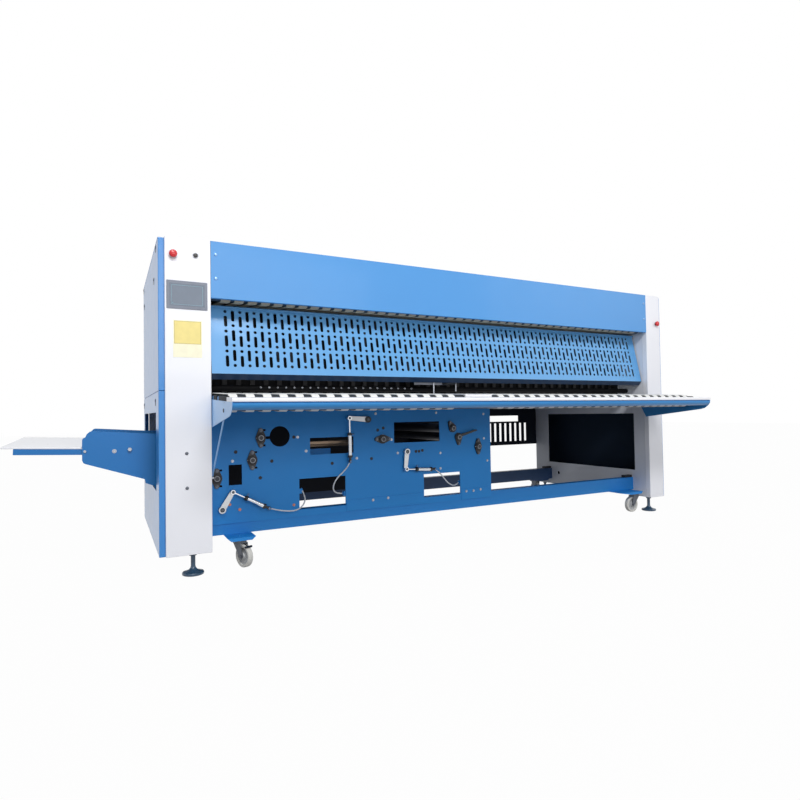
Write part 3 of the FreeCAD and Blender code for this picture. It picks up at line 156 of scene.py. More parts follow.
camera_data = bpy.data.cameras.new("camera")
camera = new_object("camera", camera_data)
bpy.context.scene.camera = camera
camera_data.sensor_width = 36.0
LENS = 24.948
camera_data.lens = LENS
camera_data.clip_end = 100.0
CAMERA_PLACE = at(-250.0, -3040.2, 823.8)
CAMERA_YAW = 27.662
CAMERA_PITCH = 1.404
CAMERA_ROLL = -0.909
turn = (Matrix.Rotation(math.radians(-CAMERA_YAW), 4, "Z")
        @ Matrix.Rotation(math.radians(90 + CAMERA_PITCH), 4, "X")
        @ Matrix.Rotation(math.radians(CAMERA_ROLL), 4, "Z"))
camera.matrix_world = Matrix.Translation(CAMERA_PLACE) @ turn
bpy.context.scene.view_settings.view_transform = "Standard"


# ---- end frames ----
# The two end frames are welded channels of 8 mm plate that carry every roller, the guard and the
# beams. They are sprayed off-white, and a near-black sheet inside the right one is painted shade.

def noise(tree, scale, detail=2.0, stretch=(1, 1, 1)):
    """A noise pattern that is fixed to the piece, its scale in patches per metre."""
    where = tree.nodes.new("ShaderNodeTexCoord")
    spread = tree.nodes.new("ShaderNodeMapping")
    spread.inputs["Scale"].default_value = stretch
    pattern = tree.nodes.new("ShaderNodeTexNoise")
    pattern.inputs["Scale"].default_value = scale
    pattern.inputs["Detail"].default_value = detail
    tree.links.new(where.outputs["Object"], spread.inputs["Vector"])
    tree.links.new(spread.outputs["Vector"], pattern.inputs["Vector"])
    return pattern.outputs["Fac"]


def blend_colours(tree, share, first, second):
    """One colour into another, by a pattern. The first may come from a socket."""
    mix = tree.nodes.new("ShaderNodeMix")
    mix.data_type = "RGBA"
    if isinstance(first, tuple):
        mix.inputs["A"].default_value = first
    else:
        tree.links.new(first, mix.inputs["A"])
    mix.inputs["B"].default_value = second
    tree.links.new(share, mix.inputs["Factor"])
    return mix.outputs["Result"]


def levels(tree, share, low, high):
    """Set the range of a pattern."""
    spread = tree.nodes.new("ShaderNodeMapRange")
    spread.inputs["To Min"].default_value = low
    spread.inputs["To Max"].default_value = high
    tree.links.new(share, spread.inputs["Value"])
    return spread.outputs["Result"]


def raised(tree, shader, height, depth):
    """Turn a pattern into fine relief of a depth in millimetres."""
    bump = tree.nodes.new("ShaderNodeBump")
    bump.inputs["Distance"].default_value = depth * MM
    bump.inputs["Strength"].default_value = 1.0
    tree.links.new(height, bump.inputs["Height"])
    tree.links.new(bump.outputs["Normal"], shader.inputs["Normal"])


def shaded(base, change):
    """A colour made lighter or darker."""
    return (*[min(1, part * change) for part in base[:3]], 1)


def beyond(tree, axis, limit, above):
    """Which side of a plane across one axis of the machine a point is on, as 0 or 1."""
    where = tree.nodes.new("ShaderNodeTexCoord")
    split = tree.nodes.new("ShaderNodeSeparateXYZ")
    tree.links.new(where.outputs["Object"], split.inputs["Vector"])
    return reckon(tree, "GREATER_THAN" if above else "LESS_THAN", split.outputs[axis], limit)


def coated(name, base, gloss, drift=0.05, coat=0.0, shine=0.5, part=None):
    """Sprayed paint: its shade drifts over the sheet, and its surface has a fine orange peel."""
    material, tree, shader = new_material(name)
    patches = noise(tree, 2.2, 3)
    paint = blend_colours(tree, patches, shaded(base, 1 - drift), shaded(base, 1 + drift))
    # where a plane is given, one side of it takes another colour: painted shade, as on the rear
    # beam and the guard's lip
    if part:
        axis, limit, above, painted_shade_colour = part
        paint = blend_colours(tree, beyond(tree, axis, limit, above), paint, painted_shade_colour)
    tree.links.new(paint, shader.inputs["Base Color"])
    shader.inputs["Specular IOR Level"].default_value = shine
    tree.links.new(levels(tree, noise(tree, 14, 4), gloss - 0.06, gloss + 0.06),
                   shader.inputs["Roughness"])
    raised(tree, shader, noise(tree, 450, 1), 0.02)
    if coat:
        shader.inputs["Coat Weight"].default_value = coat
        shader.inputs["Coat Roughness"].default_value = 0.08
    return material


def brushed(name, base, rough, along=(1, 1, 1), metallic=1.0):
    """Machined or plated metal, with fine marks drawn out along one direction."""
    material, tree, shader = new_material(name)
    marks = noise(tree, 260, 3, along)
    tree.links.new(blend_colours(tree, marks, shaded(base, 0.86), shaded(base, 1.1)),
                   shader.inputs["Base Color"])
    tree.links.new(levels(tree, marks, rough - 0.08, rough + 0.1), shader.inputs["Roughness"])
    shader.inputs["Metallic"].default_value = metallic
    raised(tree, shader, marks, 0.01)
    return material


def moulded(name, base, rough, grain=0.03):
    """Moulded plastic or rubber, with a faint cloudy shade and a fine grain."""
    material, tree, shader = new_material(name)
    tree.links.new(blend_colours(tree, noise(tree, 30, 3), shaded(base, 0.9), shaded(base, 1.08)),
                   shader.inputs["Base Color"])
    tree.links.new(levels(tree, noise(tree, 90, 2), rough - 0.05, rough + 0.08),
                   shader.inputs["Roughness"])
    raised(tree, shader, noise(tree, 900, 1), grain)
    return material


def dress(node, material):
    """Give a CAD node its finish."""
    mesh = frame["nodes"][node].data
    mesh.materials.clear()
    mesh.materials.append(material)


CABINET = "cabinet"
frame_paint = coated("end_frame_white", colour(222, 225, 233), 0.45)
dress("left_end_frame", frame_paint)
dress("right_end_frame", frame_paint)


ORIGIN = (0, 0, 0)
FORWARD, BACKWARD, UP = (0, -1, 0), (0, 1, 0), (0, 0, 1)


def add_block(part, low, high, ease=1.0, tone=0):
    """A block with rounded edges between two corners."""
    before = set(part.faces)
    corner = Vector(low)
    span = Vector(high) - corner
    made = bmesh.ops.create_cube(part, size=1.0)["verts"]
    for vert in made:
        vert.co = corner + Vector((vert.co[i] + 0.5) * span[i] for i in range(3))
    if ease:
        edges = list({edge for vert in made for edge in vert.link_edges})
        bmesh.ops.bevel(part, geom=edges, offset=min(ease, 0.45 * min(span)), segments=2,
                        profile=0.5, affect="EDGES")
    for face in part.faces:
        if face not in before:
            face.material_index = tone


def round_edges(part, width, segments=2):
    """Round all edges of a part."""
    bmesh.ops.bevel(part, geom=part.edges[:], offset=width, segments=segments, profile=0.5,
                    affect="EDGES")


def add_outline(part, box, line, front, back, tone):
    """Four thin lines round a rectangle on a face."""
    left, right, low, high = box
    for x0, x1, z0, z1 in ((left, right, high - line, high), (left, right, low, low + line),
                           (left, left + line, low, high), (right - line, right, low, high)):
        add_block(part, (x0, front, z0), (x1, back, z1), 0, tone)


def add_turned(part, profile, base, toward, sides=24, tone=0, closed=False):
    """A turned shape: points of radius and height about an axis that starts at the base."""
    turn = Vector(toward).to_track_quat("Z", "Y")
    rings = []
    for radius, height in profile:
        steps = range(sides) if radius else range(1)
        rings.append([part.verts.new(Vector(base) + turn @ Vector(
            (radius * math.cos(math.tau * step / sides),
             radius * math.sin(math.tau * step / sides), height))) for step in steps])
    pairs = list(zip(rings, rings[1:]))
    if closed:
        pairs.append((rings[-1], rings[0]))
    for low, high in pairs:
        for step in range(sides):
            after = (step + 1) % sides
            ends = [low[step % len(low)], low[after % len(low)],
                    high[after % len(high)], high[step % len(high)]]
            ends = list(dict.fromkeys(ends))
            if len(ends) > 2:
                part.faces.new(ends).material_index = tone


def add_plate(part, outline, axis, low, high, tone=0):
    """A flat plate: an outline in the plane across an axis, in x, y, z order, and its two faces."""
    index = "xyz".index(axis)
    loops = []
    for level in (low, high):
        loop = []
        for point in outline:
            place = list(point)
            place.insert(index, level)
            loop.append(part.verts.new(place))
        loops.append(loop)
    faces = [part.faces.new(loops[0]), part.faces.new(loops[1][::-1])]
    for step in range(len(outline)):
        after = (step + 1) % len(outline)
        faces.append(part.faces.new([loops[0][step], loops[0][after],
                                     loops[1][after], loops[1][step]]))
    for face in faces:
        face.material_index = tone


def keep_piece(name, part, finishes, body, replaced=(), shape=None):
    """Finish a piece: its mesh in place, smooth with sharp edges, riding on its body."""
    bmesh.ops.recalc_face_normals(part, faces=part.faces)
    for vert in part.verts:
        where = shape(vert.co) if shape else vert.co
        vert.co = at(*where)
    mesh = bpy.data.meshes.new(name)
    part.to_mesh(mesh)
    part.free()
    for material in finishes:
        mesh.materials.append(material)
    mesh.shade_smooth()
    mesh.set_sharp_from_angle(angle=math.radians(35))
    piece = new_object(name, mesh)
    flat = piece.modifiers.new("flat_faces", "WEIGHTED_NORMAL")
    flat.keep_sharp = True
    seen = piece.evaluated_get(bpy.context.evaluated_depsgraph_get())
    piece.data = bpy.data.meshes.new_from_object(seen)
    piece.modifiers.clear()
    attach(piece, body)
    if replaced:
        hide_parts(*replaced)


def body_of(node):
    """The body that a CAD node rides on."""
    bodies = frame["record"]["behaviour"]["bodies"]
    return next(name for name, nodes in bodies.items() if node in nodes)


def eased(node, material, width):
    """A copy of a sheet piece whose long folds have their real bend radius."""
    part = bmesh.new()
    part.from_mesh(frame["nodes"][node].data)
    bmesh.ops.remove_doubles(part, verts=part.verts, dist=0.02 * MM)
    bmesh.ops.dissolve_limit(part, angle_limit=math.radians(0.6), verts=part.verts,
                             edges=part.edges)
    radius = width * MM

    def breadth(face):
        return face.calc_area() / max(edge.calc_length() for edge in face.edges)

    folds = []
    for edge in part.edges:
        if len(edge.link_faces) != 2 or not edge.is_convex or edge.calc_length() < 4 * radius:
            continue
        if edge.calc_face_angle() > math.radians(40):
            if min(breadth(face) for face in edge.link_faces) > 3 * radius:
                folds.append(edge)
    bmesh.ops.bevel(part, geom=folds, offset=radius, segments=3, profile=0.5, affect="EDGES",
                    clamp_overlap=False)
    for vert in part.verts:
        vert.co = (vert.co - datum) / MM
    for face in part.faces:
        face.material_index = 0
    keep_piece(node + "_sheet", part, [material], body_of(node), (node,))


# a near-black sheet inside the right end, behind the frame's window: painted shade for the dark
# inside
shade_lining_paint = coated("lining_painted_shade", colour(24, 36, 52), 0.7, 0.3, 0, 0.12)
SHADE_LINING = ((3762, 52, 122), (3764, 1332, 1738))
part = bmesh.new()
add_block(part, *SHADE_LINING, 0.5)
keep_piece("right_end_lining", part, [shade_lining_paint], CABINET)


# ---- column covers ----
# Folded trays of white steel sheet, one over the front of each end frame. The left one carries a
# plain cream plate under the screen.

column_paint = coated("column_white", colour(238, 239, 245), 0.42, 0.02, 0.3)
eased("left_column_cover", column_paint, 2.5)
eased("right_column_cover", column_paint, 2.5)

plate_cream = moulded("plate_cream", colour(248, 243, 214), 0.4, 0.01)
plate_border = moulded("plate_border", colour(186, 166, 84), 0.4, 0.01)
plate_yellow = moulded("plate_yellow", colour(238, 220, 138), 0.4, 0.01)
PLATE = (39, 180, 1131, 1324)
PLAIN_FOOT, RIM, BORDER = 70, 5.0, 2.2
part = bmesh.new()
add_block(part, (PLATE[0], -1.0, PLATE[2]), (PLATE[1], -0.05, PLATE[3]), 0.4)
left, right, low, high = PLATE[0] + RIM, PLATE[1] - RIM, PLATE[2] + PLAIN_FOOT, PLATE[3] - RIM
add_outline(part, (left, right, low, high), BORDER, -1.3, -0.9, 1)
add_block(part, (left, -1.15, low), (right, -0.9, high), 0, 2)
keep_piece("plain_plate", part, [plate_cream, plate_border, plate_yellow], CABINET)


# ---- operator screen and buttons ----
# A touch screen in a grey moulded bezel that clips into the left column. Stop buttons are red
# mushroom heads that latch, and the start button is a small black one.

bezel_grey = moulded("bezel_grey", colour(122, 128, 142), 0.5)
glass_grey = moulded("glass_grey", colour(92, 106, 124), 0.22, 0.002)
line_teal = moulded("frame_line", colour(118, 170, 186), 0.4)
SCREEN = (8, 208, 1381, 1527)
BEZEL = 14.0
part = bmesh.new()
add_block(part, (SCREEN[0], -4.6, SCREEN[2]), (SCREEN[1], 6, SCREEN[3]), 2.2)
add_block(part, (SCREEN[0] + BEZEL, -5.0, SCREEN[2] + BEZEL),
          (SCREEN[1] - BEZEL, -4.2, SCREEN[3] - BEZEL), 0.3, 1)
left, right = SCREEN[0] + 24, SCREEN[1] - 24
low, high = SCREEN[2] + 22, SCREEN[3] - 24
add_outline(part, (left, right, low, high), 1.0, -5.2, -4.9, 2)
add_turned(part, [(0, 0), (2.4, 0), (2.0, 0.8), (0, 1.1)], (left + 6, -5.0, low + 8),
           FORWARD, 12, 2)
add_block(part, (SCREEN[0] + 6, 5, SCREEN[2] + 6), (SCREEN[1] - 6, 30, SCREEN[3] - 6), 1)
keep_piece("touch_screen", part, [bezel_grey, glass_grey, line_teal], CABINET,
           ("operator_screen",))

stop_red = moulded("stop_red", colour(205, 34, 42), 0.25, 0.005)
button_black = moulded("button_black", colour(14, 14, 16), 0.3, 0.005)
ring_grey = brushed("button_ring", colour(170, 172, 178), 0.3)
STOPS = {"left": (40, 1661), "right": (3725, 1526)}
START = (150, 1666)
for side, (x, z) in STOPS.items():
    part = bmesh.new()
    add_turned(part, [(0, -20), (8, -20), (8, 10), (13, 10.5), (18.5, 13), (20, 16), (19.8, 19),
                      (17, 23), (10, 25.4), (0, 26)], (x, 0, z), FORWARD, 40)
    keep_piece("stop_head_" + side, part, [stop_red], "stop_button_" + side,
               ("stop_button_" + side,))
part = bmesh.new()
add_turned(part, [(0, -20), (8, -20), (8, 3), (11.4, 3.2), (12, 4.5), (11.6, 7.4), (9, 8.8),
                  (0, 9)], (START[0], 0, START[1]), FORWARD, 32)
keep_piece("start_cap", part, [button_black], "start_button", ("start_button",))
part = bmesh.new()
for x, z, inner, outer in ((*STOPS["left"], 11.2, 16.5), (*STOPS["right"], 11.2, 16.5),
                           (*START, 12.6, 15.5)):
    ring = [(inner, 0), (outer, 0), (outer, 2.2), (outer - 1, 3.0), (inner, 3.0)]
    add_turned(part, ring, (x, -0.05, z), FORWARD, 32, 0, True)
keep_piece("button_rings", part, [ring_grey], CABINET)


# ---- blue covers ----
# The header, the roof with its rear sheet, and the side covers are folded steel sheet in a glossy
# mid blue. The side covers hang on black quarter-turn latches.

header_paint = coated("header_blue", colour(72, 146, 212), 0.42, 0.03, 0.1)
side_paint = coated("side_blue", colour(52, 134, 206), 0.32, 0.03, 0.3)
eased("header_cover", header_paint, 3.0)
for node in ("left_upper_cover", "left_lower_cover", "right_side_cover"):
    eased(node, side_paint, 3.0)
eased("top_rear_cover", header_paint, 1.5)


def socket(tree, name, kind):
    """A named input of a node tree."""
    tree.interface.new_socket(name=name, in_out="INPUT", socket_type=kind)


def copies_tree(name, in_a_row):
    """A tree that sets copies of a unit along a row, or on each point of the object it is on."""
    tree = bpy.data.node_groups.new(name, "GeometryNodeTree")
    socket(tree, "Geometry", "NodeSocketGeometry")
    socket(tree, "Unit", "NodeSocketObject")
    socket(tree, "Finish", "NodeSocketMaterial")
    if in_a_row:
        socket(tree, "Count", "NodeSocketInt")
        socket(tree, "Start", "NodeSocketVector")
        socket(tree, "Pitch", "NodeSocketVector")
    tree.interface.new_socket(name="Geometry", in_out="OUTPUT", socket_type="NodeSocketGeometry")
    given = tree.nodes.new("NodeGroupInput")
    unit = tree.nodes.new("GeometryNodeObjectInfo")
    copy = tree.nodes.new("GeometryNodeInstanceOnPoints")
    real = tree.nodes.new("GeometryNodeRealizeInstances")
    paint = tree.nodes.new("GeometryNodeSetMaterial")
    result = tree.nodes.new("NodeGroupOutput")
    if in_a_row:
        row = tree.nodes.new("GeometryNodeMeshLine")
        row.mode = "OFFSET"
        tree.links.new(given.outputs["Count"], row.inputs["Count"])
        tree.links.new(given.outputs["Start"], row.inputs["Start Location"])
        tree.links.new(given.outputs["Pitch"], row.inputs["Offset"])
        tree.links.new(row.outputs["Mesh"], copy.inputs["Points"])
    else:
        tree.links.new(given.outputs["Geometry"], copy.inputs["Points"])
    tree.links.new(given.outputs["Unit"], unit.inputs["Object"])
    tree.links.new(unit.outputs["Geometry"], copy.inputs["Instance"])
    tree.links.new(copy.outputs["Instances"], real.inputs["Geometry"])
    tree.links.new(real.outputs["Geometry"], paint.inputs["Geometry"])
    tree.links.new(given.outputs["Finish"], paint.inputs["Material"])
    tree.links.new(paint.outputs["Geometry"], result.inputs["Geometry"])
    return tree


row_tree = copies_tree("copies_in_a_row", True)
spot_tree = copies_tree("copies_on_points", False)


def copied(name, unit_part, material, body, points=(), row=None, replaced=(), shape=None):
    """Copies of one unit, on points or in a row, kept as a plain mesh on a body."""
    bmesh.ops.recalc_face_normals(unit_part, faces=unit_part.faces)
    unit_mesh = bpy.data.meshes.new(name + "_unit")
    unit_part.to_mesh(unit_mesh)
    unit_part.free()
    unit = new_object(name + "_unit", unit_mesh)
    host_mesh = bpy.data.meshes.new(name + "_points")
    host_mesh.from_pydata([Vector(point) for point in points], [], [])
    host = new_object(name + "_host", host_mesh)
    tree = row_tree if row else spot_tree
    modifier = host.modifiers.new("copies", "NODES")
    modifier.node_group = tree
    values = {"Unit": unit, "Finish": material}
    if row:
        values.update(zip(("Count", "Start", "Pitch"), row))
    for item in tree.interface.items_tree:
        if item.in_out == "INPUT" and item.name in values:
            modifier[item.identifier] = values[item.name]
    bpy.context.view_layer.update()
    seen = host.evaluated_get(bpy.context.evaluated_depsgraph_get())
    result = bpy.data.meshes.new_from_object(seen)
    host.modifiers.clear()
    part = bmesh.new()
    part.from_mesh(result)
    for item in (unit, host):
        bpy.data.objects.remove(item)
    keep_piece(name, part, [material], body, replaced, shape)


latch_black = moulded("latch_black", colour(22, 24, 30), 0.35)
LATCHES = ((165, 1724), (302, 1580), (1300, 1724), (1242, 1603), (1300, 906), (223, 905))
LATCH_THICK = 1.4
for side, face, out in (("left", -30, -1), ("right", 3800, 1)):
    part = bmesh.new()
    thick = sorted((0, LATCH_THICK * out))
    add_block(part, (thick[0], -10, -19), (thick[1], 10, 19), 0.6)
    add_turned(part, [(0, 1), (7, 1), (7, 2.4), (6, 3), (0, 3)], (0, 0, 8), (out, 0, 0), 20)
    copied("latches_" + side, part, latch_black, CABINET,
           [(face, y, z) for y, z in LATCHES])


# ---- base beams and fold plates ----
# Two square tubes tie the end frames together at the bottom, and the folded plates that carry the
# cross-fold rollers stand on them, stiffened by bolted strips. They are sprayed mid blue, with
# painted
# shade: the rear beam is painted dark navy and the rear fold plate near-black.

MID_DEPTH = 700
BEAM_SHADE_LIMIT = at(0, MID_DEPTH, 0).y
# the rear beam, behind the middle of the depth, is painted dark navy: painted shade
beam_paint = coated("beam_blue", colour(20, 126, 204), 0.5, 0.06,
                    part=("Y", BEAM_SHADE_LIMIT, True, colour(16, 52, 92)))
plate_paint = coated("fold_plate_blue", colour(14, 130, 208), 0.5, 0.08)
# the rear fold plate is painted near-black: painted shade, so the inside seen through the front
# plate's windows is dark
rear_plate_shade_paint = coated("rear_plate_painted_shade", colour(8, 12, 22), 0.6, 0.2, 0, 0.15)
dress("base_beams", beam_paint)
dress("fold_plate_front", plate_paint)
dress("fold_plate_rear", rear_plate_shade_paint)

bolt_steel = brushed("bolt_steel", colour(168, 172, 180), 0.36)
bolt_dark = brushed("bolt_dark", colour(92, 96, 104), 0.4)
bolt_copper = brushed("bolt_copper", colour(176, 120, 104), 0.4)
hole_black = moulded("hole_black", colour(12, 16, 28), 0.6)
PLATE_FACE, REAR_FACE = 160.0, 1121.0
STRIP_THICK = 3.0
STRIPS = (((1043, 229), (1592, 235), (1592, 300), (1043, 296)),
          ((1891, 226), (2140, 226), (2140, 300), (1891, 297)))
part = bmesh.new()
for strip in STRIPS:
    add_plate(part, strip, "y", PLATE_FACE - STRIP_THICK, PLATE_FACE - 0.05)
round_edges(part, 0.8)
keep_piece("stiffening_strips", part, [plate_paint], CABINET)


def hex_head(radius, height, washer=0.0):
    """A hexagon bolt head about the origin, facing the front, with its washer."""
    head = bmesh.new()
    if washer:
        add_turned(head, [(0, 0), (washer, 0), (washer, 1.2), (0, 1.2)], ORIGIN, FORWARD, 16)
    add_turned(head, [(0, 0), (radius, 0), (radius, 0.8 * height), (0.86 * radius, height),
                      (0, height)], ORIGIN, FORWARD, 6)
    return head


plate_bolts = [(738, 694), (789, 609), (1116, 550), (1360, 657), (1404, 569), (1728, 554),
               (1727, 450), (2117, 483), (360, 572), (2090, 812), (2090, 640), (250, 826),
               (1250, 826), (1700, 826)]
strip_bolts = [(1223, 281), (1329, 286), (1932, 281), (1992, 280), (2052, 285)]
copper_bolts = [(343, 331), (398, 298), (711, 296)]
copied("plate_bolts", hex_head(6.5, 5, 8.5), bolt_steel, CABINET,
       [(x, PLATE_FACE, z) for x, z in plate_bolts])
copied("strip_bolts", hex_head(6.5, 5, 8.5), bolt_steel, CABINET,
       [(x, PLATE_FACE - STRIP_THICK, z) for x, z in strip_bolts])
copied("copper_bolts", hex_head(6.5, 5, 8.5), bolt_copper, CABINET,
       [(x, PLATE_FACE, z) for x, z in copper_bolts])
plug = bmesh.new()
add_turned(plug, [(0, 0), (10, 0), (10, 0.7), (8.6, 1.2), (7.5, 0.6), (0, 0.5)], ORIGIN, FORWARD,
           20)
copied("hole_plugs", plug, hole_black, CABINET,
       [(x, PLATE_FACE, z) for x, z in ((715, 695), (378, 622), (582, 560), (515, 468),
                                        (953, 527), (1217, 542), (1263, 721), (1303, 733),
                                        (1589, 577), (1540, 573), (1563, 573))])

# the black pads that the end frames stand on, at the front beam's right end and the rear beam's
part = bmesh.new()
for front in (176, 1131):
    add_block(part, (3528, front, 265), (3609.5, front + 40, 283), 2)
keep_piece("beam_end_pads", part, [hole_black], CABINET)


# ---- cross-fold rollers and their bearings ----
# Turned steel rollers run between the two fold plates in black cast flange bearings. Each bearing
# has two bolt ears, a bright inner ring with its set screw, and a grease nipple.

# the cross rollers are darkened almost to black: painted shade for the shade inside the machine
roller_steel = brushed("roller_steel", colour(52, 54, 60), 0.4, (1, 0.05, 1), 0.4)
cast_black = moulded("cast_black", colour(24, 25, 30), 0.42, 0.05)
ring_bright = brushed("bearing_ring", colour(138, 140, 146), 0.3)
NUMBERS = ("one", "two", "three", "four", "five", "six", "seven")
CROSS = ((518, 697), (469, 572), (274, 480), (1295, 663), (1827, 719), (1874, 657), (2037, 586))
EAR_ANGLES = ((90, 270), (90, 270), (90, 270), (0, 180), (120,), (-90,), (90, 270))
for number in NUMBERS:
    dress("cross_roller_" + number, roller_steel)


def hull(points):
    """The outline round a set of flat points."""
    points = sorted(set(points))
    sides = []
    for run in (points, points[::-1]):
        side = []
        for spot in run:
            while len(side) > 1:
                a, b = side[-2], side[-1]
                if (b[0] - a[0]) * (spot[1] - a[1]) - (b[1] - a[1]) * (spot[0] - a[0]) > 1e-6:
                    break
                side.pop()
            side.append(spot)
        sides += side[:-1]
    return sides


def round_points(x, z, radius, steps=20):
    """Points round a circle in a flat plane."""
    return [(round(x + radius * math.cos(math.tau * i / steps), 3),
             round(z + radius * math.sin(math.tau * i / steps), 3)) for i in range(steps)]


EAR_REACH = 44.0
EAR_RADIUS = 12.5
HUB_REACH = 29
bearings = bmesh.new()
for (x, z), angles in zip(CROSS, EAR_ANGLES):
    ears = [(x + EAR_REACH * math.cos(math.radians(a)), z + EAR_REACH * math.sin(math.radians(a)))
            for a in angles]
    around = round_points(x, z, HUB_REACH)
    for ear in ears:
        around += round_points(ear[0], ear[1], EAR_RADIUS)
    for face, out in ((PLATE_FACE, -1), (REAR_FACE, 1)):
        add_plate(bearings, hull(around), "y", face + 0.05 * out, face + 9.5 * out)
        base = (x, face + 9.4 * out, z)
        add_turned(bearings, [(12.4, -2), (26.5, -2), (25.5, 4), (24.2, 6.2), (21.5, 6.8),
                              (20.4, 4.2), (12.4, 4.2)], base, (0, out, 0), 32, 0, True)
        add_turned(bearings, [(12.25, 4.2), (16.2, 4.2), (15.8, 12.8), (14.8, 13.8), (12.25, 13.8)],
                   base, (0, out, 0), 28, 1, True)
        nipple = math.radians(angles[0] + 90)
        add_turned(bearings, [(0, 0), (3.2, 0), (3.0, 3), (1.6, 5), (2.0, 7), (0, 8)],
                   (x + 24 * math.cos(nipple), face + 11 * out, z + 24 * math.sin(nipple)),
                   (math.cos(nipple), 0, math.sin(nipple)), 10, 1)
        for ear in ears:
            add_turned(bearings, [(0, -1), (11, -1), (11, 1.2), (0, 1.2)],
                       (ear[0], face + 9.5 * out, ear[1]), (0, out, 0), 18, 2)
            add_turned(bearings, [(0, 0), (8, 0), (8, 5.2), (7, 6.4), (0, 6.4)],
                       (ear[0], face + 10.6 * out, ear[1]), (0, out, 0), 6, 2)
keep_piece("flange_bearings", bearings, [cast_black, ring_bright, bolt_dark], CABINET,
           ("bearing_housings",))


# ---- air cylinders, cranks and air hoses ----
# Round stainless air cylinders swing on studs in the fold plate and turn the crank arms through
# rods with round eyes. A pale plastic hose goes from each cylinder's push-in fitting through the
# window behind it, to a fitting on a block.

tube_silver = brushed("cylinder_tube", colour(208, 210, 214), 0.2, (1, 1, 1), 0.9)
cap_black = moulded("cap_black", colour(26, 27, 31), 0.35)
crank_steel = brushed("crank_steel", colour(196, 198, 201), 0.34)
rod_chrome = brushed("rod_chrome", colour(226, 228, 232), 0.12)
AIR_Y = 129.0
TAIL_CAP, BARREL_SHARE = 24, 0.56
LINKS = {"one": ((556, 296), (356, 402), (300, 307)),
         "two": ((1060, 535), (1058, 801), (1188, 790)),
         "three": ((1664, 452), (1452, 464), (1464, 576))}
ROUTES = {
    "one": ((568, 127, 292.2), (604, 121, 281), (655, 117, 272), (704, 119, 268),
            (748, 130, 282), (778, 154, 312), (782, 174, 342), (770, 184, 372)),
    "two": ((1052.8, 126.9, 524.5), (1036, 122, 500), (1004, 118, 472), (968, 117, 442),
            (946, 122, 404), (950, 140, 366), (980, 162, 342), (1022, 180, 336)),
    "three": ((1674, 127, 444), (1704, 121, 420), (1730, 118, 386), (1762, 119, 352),
              (1800, 128, 334), (1842, 148, 332), (1878, 176, 342)),
}
HOSE_WIDTH = 8
hose_plastic = moulded("hose_plastic", colour(214, 218, 224), 0.35, 0.005)
fitting_blue = moulded("fitting_blue", colour(70, 116, 170), 0.3, 0.005)

for number, route in ROUTES.items():
    points = [at(*point) for point in route]
    curve = bpy.data.curves.new("hose_" + number, "CURVE")
    curve.dimensions = "3D"
    curve.bevel_depth = HOSE_WIDTH / 2 * MM
    curve.bevel_resolution = 4
    curve.resolution_u = 16
    curve.use_fill_caps = True
    spline = curve.splines.new("NURBS")
    spline.points.add(len(points) - 1)
    for point, spot in zip(spline.points, points):
        point.co = (*spot, 1)
    spline.order_u = 3
    spline.use_endpoint_u = True
    curve.materials.append(hose_plastic)
    hose = new_object("hose_" + number, curve)
    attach(hose, body_of("air_hose_" + number))
    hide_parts("air_hose_" + number)

